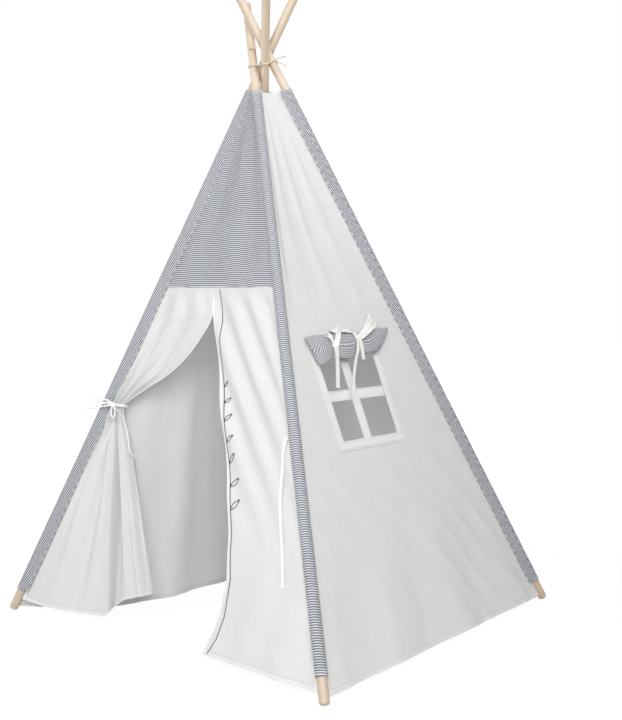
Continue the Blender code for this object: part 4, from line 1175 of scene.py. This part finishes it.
def oval(value):
    """A sine or cosine drawn out towards its ends, which makes a circle a flatter oval."""
    return math.copysign(abs(value) ** 0.8, value)


def blind_section(y):
    """Top, bottom, depth and bow of the roll at a place along it."""
    for low, high in zip(BLIND, BLIND[1:]):
        if y <= high[0]:
            part = smooth((y - low[0]) / (high[0] - low[0]))
            return [mix(a, b, part) for a, b in zip(low[1:], high[1:])]
    return list(BLIND[-1][1:])


def blind_point(turn, y):
    """Point of the spiral: turn counts from the outer edge in, y runs along the roll."""
    top, bottom, depth, bow = blind_section(y)
    angle = math.pi / 2 - math.tau * turn
    inward = layer_step * turn * min(1.0, (top - bottom) / 0.03)
    half, deep = (top - bottom) / 2 - inward, max(depth / 2 - inward, 0.0008)
    near = min(abs(y - tied) for tied in TIED_Y)
    held = 1 - smooth((near - 0.007) / 0.03)
    pleat = 0.0009 * math.sin(y * 900) * held * (1 - held) * 4
    ridge = 1 - 0.06 * (0.5 - 0.5 * math.cos(6 * angle)) + 0.02 * lump(angle, y, 3, 1.5, 30)
    offset_n = deep * oval(math.cos(angle)) * ridge
    offset_z = half * oval(math.sin(angle)) * ridge
    lift = blind_stand + bow + depth / 2
    slant = 0.021 * (0.5 - offset_z / (top - bottom)) * (1 - smooth((y + 0.189) / 0.05))
    return on_window(y + slant, (top + bottom) / 2 + offset_z, lift + offset_n + pleat)


def blind_lay(turn, y, _):
    skew = 0.55 * smooth((-0.115 - y) / 0.03) * (y + 0.115) + 0.30 * smooth((y - 0.02) / 0.05) * (y - 0.02)
    return y, turn * 0.185 + skew


blind = cut("blind_roll", spaced(0, blind_turns, 150), spaced(BLIND[0][0], BLIND[-1][0], 130), blind_point,
            ticking_back, lambda turn, y: min(turn, blind_turns - turn) * 0.15 + 0.004, lay=blind_lay,
            thickness=0.0009)
declared(blind, ["window_blind"])
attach(blind[0], "blind")

# %% [markdown]
# ## Tapes
# Flat woven tape: each stretch is a narrow sheet along a path, and the stretches of one tie are joined into
# one piece. A knot is the same tape, wound round itself in short slanted rings.

# %% Tape along a path
tape_thickness = 0.001


def tape_run(name, stations, side, width, steps, curl=0.0):
    path = [Vector(point) for point in stations]

    def place(s, t):
        spot = on_curve(path, t)
        run = (on_curve(path, min(1, t + 0.01)) - on_curve(path, max(0, t - 0.01))).normalized()
        across = side - run * side.dot(run)
        across.normalize()
        face = across.cross(run)
        return spot + across * (width * (s - 0.5)) + face * (tape_thickness / 2 - curl * (2 * s - 1) ** 2)

    return cut(name, spaced(0, 1, 6), spaced(0, 1, steps), place, tape_cotton, thickness=tape_thickness)[0]


def tape_ring(name, centre, axes, radii, width):
    """A short ring of tape round a centre; axes are the ring's two directions and the one across the tape."""
    def place(s, t):
        angle = math.tau * t
        around = axes[0] * (math.cos(angle) * radii[0]) + axes[1] * (math.sin(angle) * radii[1])
        return centre + around + axes[2] * (width * (s - 0.5))

    return cut(name, spaced(0, 1, 5), spaced(0, 1, 40), place, tape_cotton, thickness=tape_thickness)[0]


def made_one(name, parts, body, replaces):
    """Applies the thickness and joins the stretches of one tie."""
    bm = bmesh.new()
    graph = bpy.context.evaluated_depsgraph_get()
    for part in parts:
        graph.update()
        whole = bpy.data.meshes.new_from_object(part.evaluated_get(graph))
        bm.from_mesh(whole)
        bpy.data.objects.remove(part)
        bpy.data.meshes.remove(whole)
    bmesh.ops.recalc_face_normals(bm, faces=bm.faces[:])
    obj = linked(name, bm, tape_cotton)
    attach(obj, body)
    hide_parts(*replaces)
    print(name, "faces", len(obj.data.polygons))
    return obj


# %% Ties of the blind
tape_width, knot_depth = 0.011, 0.008
KNOT_DEG = {"blind_tie_left": -12.0, "blind_tie_right": 10.0}
window_across = on_window(window_right, window_top, 0.0) - on_window(window_left, window_top, 0.0)
window_across.normalize()
window_out = window_wall.normal(window_top, 0.5)
window_climb = window_out.cross(window_across).normalized()


def blind_tie(name, node, y, loops):
    top, bottom, depth, bow = blind_section(y)
    deep, half = depth / 2 + 0.0004, (top - bottom) / 2 + 0.0004
    lift = blind_stand + bow + depth / 2

    def round_roll(s, t):
        angle = -math.tau * t
        offset_n = (deep + 0.0006) * oval(math.cos(angle))
        offset_z = (half + 0.0006) * oval(math.sin(angle))
        return on_window(y + tape_width * (s - 0.5), (top + bottom) / 2 + offset_z, lift + offset_n + 0.0006)

    parts = [cut(name + "_round", spaced(0, 1, 6), spaced(0, 1, 64), round_roll, tape_cotton,
                 thickness=tape_thickness)[0]]
    knot_turn = math.radians(KNOT_DEG[name])
    front = lift + deep * oval(math.cos(knot_turn)) + tape_thickness
    knot_z = (top + bottom) / 2 + half * oval(math.sin(knot_turn))
    centre = on_window(y, knot_z, front + knot_depth / 2)
    for number, tilt in enumerate((0.15, -0.75, 1.0)):
        first = (window_climb * math.cos(tilt) + window_across * math.sin(tilt)).normalized()
        across = window_out.cross(first)
        parts.append(tape_ring(name + "_knot_" + str(number), centre, (first, window_out, across),
                               (0.0058 + 0.0006 * number, 0.0038 + 0.0005 * number), tape_width * 0.72))
    for number, (points, width, curl) in enumerate(loops):
        path = [on_window(y + dy, knot_z + dz, front + knot_depth / 2 + dn) for dy, dz, dn in points]
        upright = abs((path[-1] - path[0]).z) > abs((path[-1] - path[0]).y)
        side = window_across if upright else window_climb
        parts.append(tape_run(name + "_run_" + str(number), path, side, tape_width * width, 36, curl))
    return made_one(name, parts, "blind", [node])


blind_tie("blind_tie_left", "window_tie_left", TIED_Y[0], (
    (((0.000, 0.002, 0.001), (0.006, 0.014, 0.006), (0.017, 0.028, 0.008), (0.029, 0.042, 0.006),
      (0.034, 0.045, 0.002), (0.026, 0.032, -0.001), (0.012, 0.014, -0.001), (0.002, 0.002, -0.001)),
     1.25, 0.0004),
    (((0.001, 0.000, 0.002), (-0.007, -0.018, 0.002), (-0.013, -0.042, -0.002), (-0.020, -0.066, -0.006),
      (-0.027, -0.090, -0.010)), 1.1, 0.0006),
    (((-0.002, 0.002, 0.000), (-0.008, 0.015, 0.003), (-0.015, 0.025, 0.001), (-0.022, 0.030, -0.004)),
     0.45, 0.0002),
))
blind_tie("blind_tie_right", "window_tie_right", TIED_Y[1], (
    (((0.001, 0.002, 0.001), (0.022, 0.016, 0.006), (0.045, 0.032, 0.009), (0.068, 0.050, 0.007),
      (0.072, 0.052, 0.003), (0.055, 0.038, 0.001), (0.028, 0.016, 0.000), (0.003, 0.001, 0.000)),
     1.1, 0.0004),
    (((0.002, 0.000, 0.003), (0.028, 0.011, 0.008), (0.056, 0.024, 0.011), (0.082, 0.039, 0.008),
      (0.092, 0.041, 0.003), (0.078, 0.032, 0.001), (0.040, 0.012, 0.001), (0.004, 0.000, 0.001)),
     1.05, 0.0004),
    (((-0.001, 0.000, -0.001), (-0.017, -0.026, 0.001), (-0.033, -0.050, -0.003), (-0.048, -0.078, -0.008),
      (-0.060, -0.106, -0.013), (-0.068, -0.132, -0.018)), 0.8, 0.0006),
    (((0.001, 0.000, 0.003), (-0.001, -0.018, 0.004), (-0.004, -0.036, 0.002), (-0.006, -0.050, 0.000)),
     1.05, 0.0005),
))

# %% [markdown]
# The raw top of the ticking is bound with the same tape. Just under it a narrow dark strip is painted
# shade: the dark of the gap between the tape and the roll. Both are narrow sheets laid on the roll, tilted
# back towards the wall, so that they lift with the blind.

# %% Tape sewn along the top of the blind, with a dark strip of painted shade under it
binding_low, binding_high, binding_start, binding_stop = 0.0000, 0.0130, 0.022, 0.001


def binding(name, low, high, lift, finish):
    def place(s, t):
        y = mix(TIED_Y[0] + binding_start, TIED_Y[1] - binding_stop, s)
        top, _, depth, _ = blind_section(y)
        back = lift * (1 - 0.75 * t * (high - low) / binding_high)
        lift_here = blind_stand + depth * back + 0.0006 * lump(y, t, 2, 90, 3)
        return on_window(y, top + mix(low, high, t), lift_here)

    made = cut(name, spaced(0, 1, 40), spaced(0, 1, 6), place, finish, thickness=tape_thickness)
    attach(made[0], "blind")


binding("blind_binding", binding_low, binding_high, 0.85, tape_cotton)
# A dark strip just under the tape: painted shade of the gap between the tape and the roll
binding("blind_gap_shade", binding_low - 0.0030, binding_low - 0.0016, 0.98, thread_and_shade_cotton)
print("binding from", TIED_Y[0] + binding_start, "to", TIED_Y[1] - binding_stop, "m along the window")

# %% Tie of the left flap
tie_width = 0.010
band_reach = pinch_width + cloth_thickness + touch_gap + 0.004
band_front = 2 * touch_gap + tape_thickness
bunch_deep = pinch_amplitude * 2 + cloth_thickness + touch_gap


def at_bunch(along, out, climb=0.0):
    return pinch_start + door_across * along + door_out * out + door_climb * climb


band = [at_bunch(0.004, band_front + 0.001), at_bunch(band_reach * 0.45, band_front + 0.001),
        at_bunch(band_reach, band_front), at_bunch(band_reach + 0.003, -bunch_deep * 0.35),
        at_bunch(band_reach, -bunch_deep - band_front), at_bunch(band_reach * 0.5, -bunch_deep - band_front),
        at_bunch(0.006, -bunch_deep - band_front)]
door_parts = [tape_run("door_band", band, door_climb, tie_width * 0.65, 50)]
knot_along = 0.013
door_knot = at_bunch(knot_along, band_front + knot_depth / 2 + 0.001)
for number, tilt in enumerate((0.4, -0.5, 1.2)):
    first = (door_climb * math.cos(tilt) + door_across * math.sin(tilt)).normalized()
    axes = (first, door_out, door_out.cross(first))
    radii = (0.0062 + 0.0006 * number, 0.0042 + 0.0004 * number)
    door_parts.append(tape_ring("door_knot_" + str(number), door_knot, axes, radii, tie_width * 0.62))
for number, (points, across, width) in enumerate((
    (((0.000, 0.006, 0.002), (-0.014, 0.018, 0.008), (-0.034, 0.021, 0.009), (-0.052, 0.020, 0.013),
      (-0.055, 0.024, 0.009), (-0.036, 0.022, 0.002), (-0.002, 0.009, 0.000)), door_climb, 0.45),
    (((0.000, 0.006, 0.001), (-0.012, 0.016, 0.001), (-0.030, 0.022, -0.005), (-0.044, 0.023, -0.010),
      (-0.038, 0.019, -0.014), (-0.022, 0.018, -0.009), (-0.002, 0.008, -0.003)), door_climb, 0.45),
    (((-0.001, 0.006, -0.002), (-0.022, 0.017, -0.010), (-0.046, 0.020, -0.017), (-0.068, 0.018, -0.019),
      (-0.088, 0.014, -0.018)), door_climb, 0.4),
    (((0.002, 0.006, 0.000), (0.012, 0.011, -0.006), (0.020, 0.010, -0.018), (0.023, 0.009, -0.032),
      (0.019, 0.011, -0.036), (0.010, 0.013, -0.024), (0.001, 0.008, -0.004)), door_across, 0.5),
)):
    path = [at_bunch(a + knot_along, b + tape_thickness, c) for a, b, c in points]
    door_parts.append(tape_run("door_run_" + str(number), path, across, tie_width * width, 40, 0.0005))
toward = Vector((0.62, -0.78, 0.0))
tail_path = [at_bunch(knot_along + 0.003, 0.008), at_bunch(knot_along + 0.015, 0.010, -0.008)]
tail_path += [left_point(share, -fall) + toward * off for share, fall, off in
              ((0.86, 0.045, 0.0085), (0.93, 0.10, 0.0065), (0.955, 0.17, 0.006), (0.97, 0.24, 0.006))]
tail_path.append(left_point(1.0, -0.27) + toward * 0.004 + Vector((0.020, 0.008, 0.0)))
door_parts.append(tape_run("door_tail", tail_path, door_across, tie_width * 0.6, 60, 0.0004))
made_one("door_tie_bow", door_parts, "pole_front_left", ["door_tie_left"])

# %% Tape that hangs beside the right pole
HANGING = ((0.285, 0.497), (0.288, 0.467), (0.291, 0.435), (0.303, 0.373), (0.321, 0.312), (0.340, 0.253),
           (0.356, 0.198))
tie_top = 0.505
hang_lift = touch_gap + tape_thickness + 0.0008


def on_strip(x, height):
    fold, edge = fold_point(height).x, door_wall.point(height, 1.0, flap_lift).x
    return sewn_point((x - fold) / (edge - fold), height, hang_lift)


sewn_at = door_wall.ends(tie_top)[1] - door_across * (tie_width / 2 - touch_gap)
hang_path = [sewn_at + door_out * (flap_lift + hang_lift)]
hang_path += [on_strip(x, height) for x, height in HANGING]
hanging = tape_run("door_tie_hanging_run", hang_path, door_across, tie_width * 0.9, 60, 0.0007)
tape = made_one("door_tie_hanging", [hanging], "right_tie", ["door_tie_right"])
hang_line = [on_curve(hang_path, step / 60) for step in range(61)]
hang_length = sum((b - a).length for a, b in zip(hang_line, hang_line[1:]))
print("hanging tape", round(hang_length, 4), "m")
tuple(hang_line[0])

# %% [markdown]
# ## Lashing
# A thin cotton cord of three twisted strands goes once round the four poles under the crossing and is
# knotted at the side. Each strand is a curve that winds round the cord's own line.

# %% Twisted cord
cord_diameter, thread_diameter = 0.0034, 0.003
ring_clearance = 3 * touch_gap
RING_DROP = {"front_right": 0.007, "back_right": -0.008, "back_left": 0.007, "front_left": 0.0}


def resampled(points, step):
    """Evenly spaced points on the line through the given ones."""
    line, out, carry = [Vector(p) for p in points], [], 0.0
    out.append(line[0].copy())
    for first, last in zip(line, line[1:]):
        length = (last - first).length
        place = step - carry
        while place <= length:
            out.append(first.lerp(last, place / length))
            place += step
        carry = length - (place - step)
    out.append(line[-1].copy())
    return out


def twisted(name, points, diameter, pitch, body, replaces, swell=None):
    """Three strands wound round a line; swell says how much thicker the cord is near its knots."""
    fine = resampled([on_curve(points, share) for share in spaced(0, 1, 12 * len(points))], diameter / 2.2)
    data = bpy.data.curves.new(name, "CURVE")
    data.dimensions, data.bevel_depth, data.bevel_resolution = "3D", diameter * 0.27, 2
    data.use_fill_caps = True
    side, run_length = Vector((0.3, 0.2, 1.0)), 0.0
    frames = []
    for index, spot in enumerate(fine):
        run = (fine[min(index + 1, len(fine) - 1)] - fine[max(index - 1, 0)]).normalized()
        side = (side - run * side.dot(run)).normalized()
        run_length += (spot - fine[index - 1]).length if index else 0.0
        frames.append((spot, side.copy(), run.cross(side), run_length))
    for strand in range(3):
        spline = data.splines.new("POLY")
        spline.points.add(len(fine) - 1)
        for index, (spot, first, second, run_length) in enumerate(frames):
            angle = math.tau * (run_length / pitch + strand / 3)
            wide = diameter * 0.24 * (swell(index / len(fine)) if swell else 1.0)
            place = spot + (first * math.cos(angle) + second * math.sin(angle)) * wide
            spline.points[index].co = (*place, 1.0)
            spline.points[index].radius = swell(index / len(fine)) if swell else 1.0
    data.materials.append(cord_cotton)
    curve = bpy.data.objects.new(name + "_line", data)
    bpy.context.scene.collection.objects.link(curve)
    graph = bpy.context.evaluated_depsgraph_get()
    mesh = bpy.data.meshes.new_from_object(curve.evaluated_get(graph))
    bpy.data.objects.remove(curve)
    mesh.name = name
    for face in mesh.polygons:
        face.use_smooth = True
    obj = bpy.data.objects.new(name, mesh)
    bpy.context.scene.collection.objects.link(obj)
    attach(obj, body)
    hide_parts(*replaces)
    print(name, "length", round(run_length, 3), "m, faces", len(mesh.polygons))


def ring_support(angle, rise):
    """Outermost point of the four poles in one direction, moved out by the cord."""
    level = Vector((math.cos(angle), math.sin(angle), 0.0))
    spots = []
    for name, pole in poles.items():
        centre = pole.hinge + pole.up * ((rise - RING_DROP[name]) / pole.up.z)
        inward = Vector((pole.up.x, pole.up.y, 0.0)).normalized()
        stretch = 1 / pole.up.z
        a = level.dot(inward) * pole_radius * stretch
        b = level.dot(pole.turn) * pole_radius
        size = math.hypot(a, b)
        spot = centre + inward * (a / size * pole_radius * stretch) + pole.turn * (b / size * pole_radius)
        spots.append(spot)
    return max(spots, key=lambda spot: spot.dot(level)) + level * (cord_diameter / 2 + ring_clearance)


knot_bearing = math.radians(5.0)
FIRST_TAIL = ((0.028, 0.006, -0.014), (0.020, 0.001, -0.009), (0.010, -0.004, -0.005))
LAST_TAIL = ((0.006, 0.006, 0.004), (0.014, 0.014, 0.008), (0.019, 0.023, 0.010))
ring = []
for step in range(65):
    rise = (step / 64 - 0.5) * (cord_diameter + ring_clearance)
    ring.append(ring_support(knot_bearing + math.tau * step / 64, rise))
packed = [ring[0]]
for spot in ring[1:]:
    if (spot - packed[-1]).length > cord_diameter:
        packed.append(spot)
level = Vector((math.cos(knot_bearing), math.sin(knot_bearing), 0.0))
sideways, upright = Vector((-level.y, level.x, 0.0)), Vector((0, 0, 1))


def tail(end, steps):
    """Points of a free end, given as steps out, sideways and up from the knot."""
    return [end + level * out + sideways * side + upright * rise for out, side, rise in steps]


lashing_line = tail(packed[0], FIRST_TAIL) + packed + tail(packed[-1], LAST_TAIL)
twisted("lashing", lashing_line, cord_diameter, 0.010, "cover", ["lashing_cord"])

# %% [markdown]
# A thinner cord goes through a hole in the front right pole and one in the back left pole, so that the
# crossing can't slide. Its knots are swellings of the same three strands.

# %% Cord through the cross holes
HOLE_BEARING_DEG = {"front_right": -70.5, "back_left": 38.9}
hole_above = 0.042


def hole(name):
    pole = poles[name]
    bearing = math.radians(HOLE_BEARING_DEG[name])
    flat = Vector((math.cos(bearing), math.sin(bearing), 0.0))
    return pole.hinge + pole.up * hole_above, (flat - pole.up * flat.dot(pole.up)).normalized()


front, front_way = hole("front_right")
back, back_way = hole("back_left")
knot_reach = pole_radius + thread_diameter * 1.1 + touch_gap
stand = pole_radius + thread_diameter
in_hole = pole_radius * 0.6
front_steps = (-knot_reach - 0.003, -knot_reach, -in_hole, 0.0, stand * 0.6, stand)
thread_line = [front + front_way * step for step in front_steps]
leave, arrive = front + front_way * stand, back - back_way * stand
thread_line += [leave.lerp(arrive, share) for share in (0.25, 0.5, 0.75)]
back_steps = (-stand, -stand * 0.6, 0.0, in_hole, knot_reach, knot_reach + 0.003)
thread_line += [back + back_way * step for step in back_steps]


def knots(share):
    near = min(abs(share - 0.02), abs(share - 0.98))
    return 1.0 + 0.75 * (1 - smooth(near / 0.035))


twisted("hole_cord", thread_line, thread_diameter, 0.009, "cover", ["pole_thread"], knots)

# %% [markdown]
# ## Camera, floor and light
# The camera stands where the photograph was taken from, low and to the right. The floor and the air behind
# are white to the camera only, so that they add no light to the cloth, and the floor keeps a soft shadow.

# %% Camera
camera_data = bpy.data.cameras.new("camera")
camera_data.lens = 52.69
camera_data.sensor_width = 36
camera = bpy.data.objects.new("camera", camera_data)
bpy.context.scene.collection.objects.link(camera)
camera.location = (1.7926, -2.1041, 0.8294)
yaw, pitch = math.radians(38.86), math.radians(-3.677)
look = Vector((-math.sin(yaw) * math.cos(pitch), math.cos(yaw) * math.cos(pitch), math.sin(pitch)))
camera.rotation_mode = "QUATERNION"
camera.rotation_quaternion = look.to_track_quat("-Z", "Y")
camera_data.clip_start, camera_data.clip_end = 0.05, 60
bpy.context.scene.camera = camera
print("camera at", [round(value, 3) for value in camera.location], "lens", round(camera_data.lens, 2), "mm")


# %% Floor
def floor_finish():
    mat, tree, shader = fresh("pale_floor")
    shader.inputs["Base Color"].default_value = (0.52, 0.52, 0.52, 1)
    shader.inputs["Roughness"].default_value = 0.9
    glow = add(tree, "ShaderNodeEmission", {"Color": (1, 1, 1, 1), "Strength": 1.10})
    spot = add(tree, "ShaderNodeTexCoord").outputs["Object"]
    away = add(tree, "ShaderNodeVectorMath", {0: spot}, operation="LENGTH").outputs["Value"]
    share = ranged(tree, away, 1.0, 2.6, 0.86, 1.0)
    shown = sums(tree, "MULTIPLY", seen_directly(tree), share)
    blend = add(tree, "ShaderNodeMixShader", {0: shown, 1: shader.outputs[0], 2: glow.outputs[0]})
    tree.links.new(blend.outputs[0], tree.nodes["Material Output"].inputs["Surface"])
    return mat


bm = bmesh.new()
bmesh.ops.create_grid(bm, x_segments=1, y_segments=1, size=14)
floor = linked("floor", bm, floor_finish())

# %% World and lamps
world = bpy.data.worlds.new("studio")
bpy.context.scene.world = world
world.use_nodes = True
tree = world.node_tree
strength = ranged(tree, seen_directly(tree), 0, 1, 0.16, 1.0)
tree.links.new(strength, tree.nodes["Background"].inputs["Strength"])
tree.nodes["Background"].inputs["Color"].default_value = (1, 1, 1, 1)


def lamp(name, place, size, power):
    data = bpy.data.lights.new(name, "AREA")
    data.shape, data.size, data.energy = "SQUARE", size, power
    obj = bpy.data.objects.new(name, data)
    bpy.context.scene.collection.objects.link(obj)
    obj.location = place
    obj.rotation_mode = "QUATERNION"
    obj.rotation_quaternion = (lamp_aim - Vector(place)).to_track_quat("-Z", "Y")


lamp("key", (-1.2, -2.8, 2.8), 1.8, 51)
lamp("top", (1.2, 0.3, 2.6), 1.2, 18)
lamp("fill", (2.2, -2.6, 2.0), 1.8, 88)
lamp("side", (-2.6, 0.3, 0.9), 1.5, 28)
print("lamps", sorted(light.name for light in bpy.data.lights))
bpy.context.scene.view_settings.view_transform = "Standard"
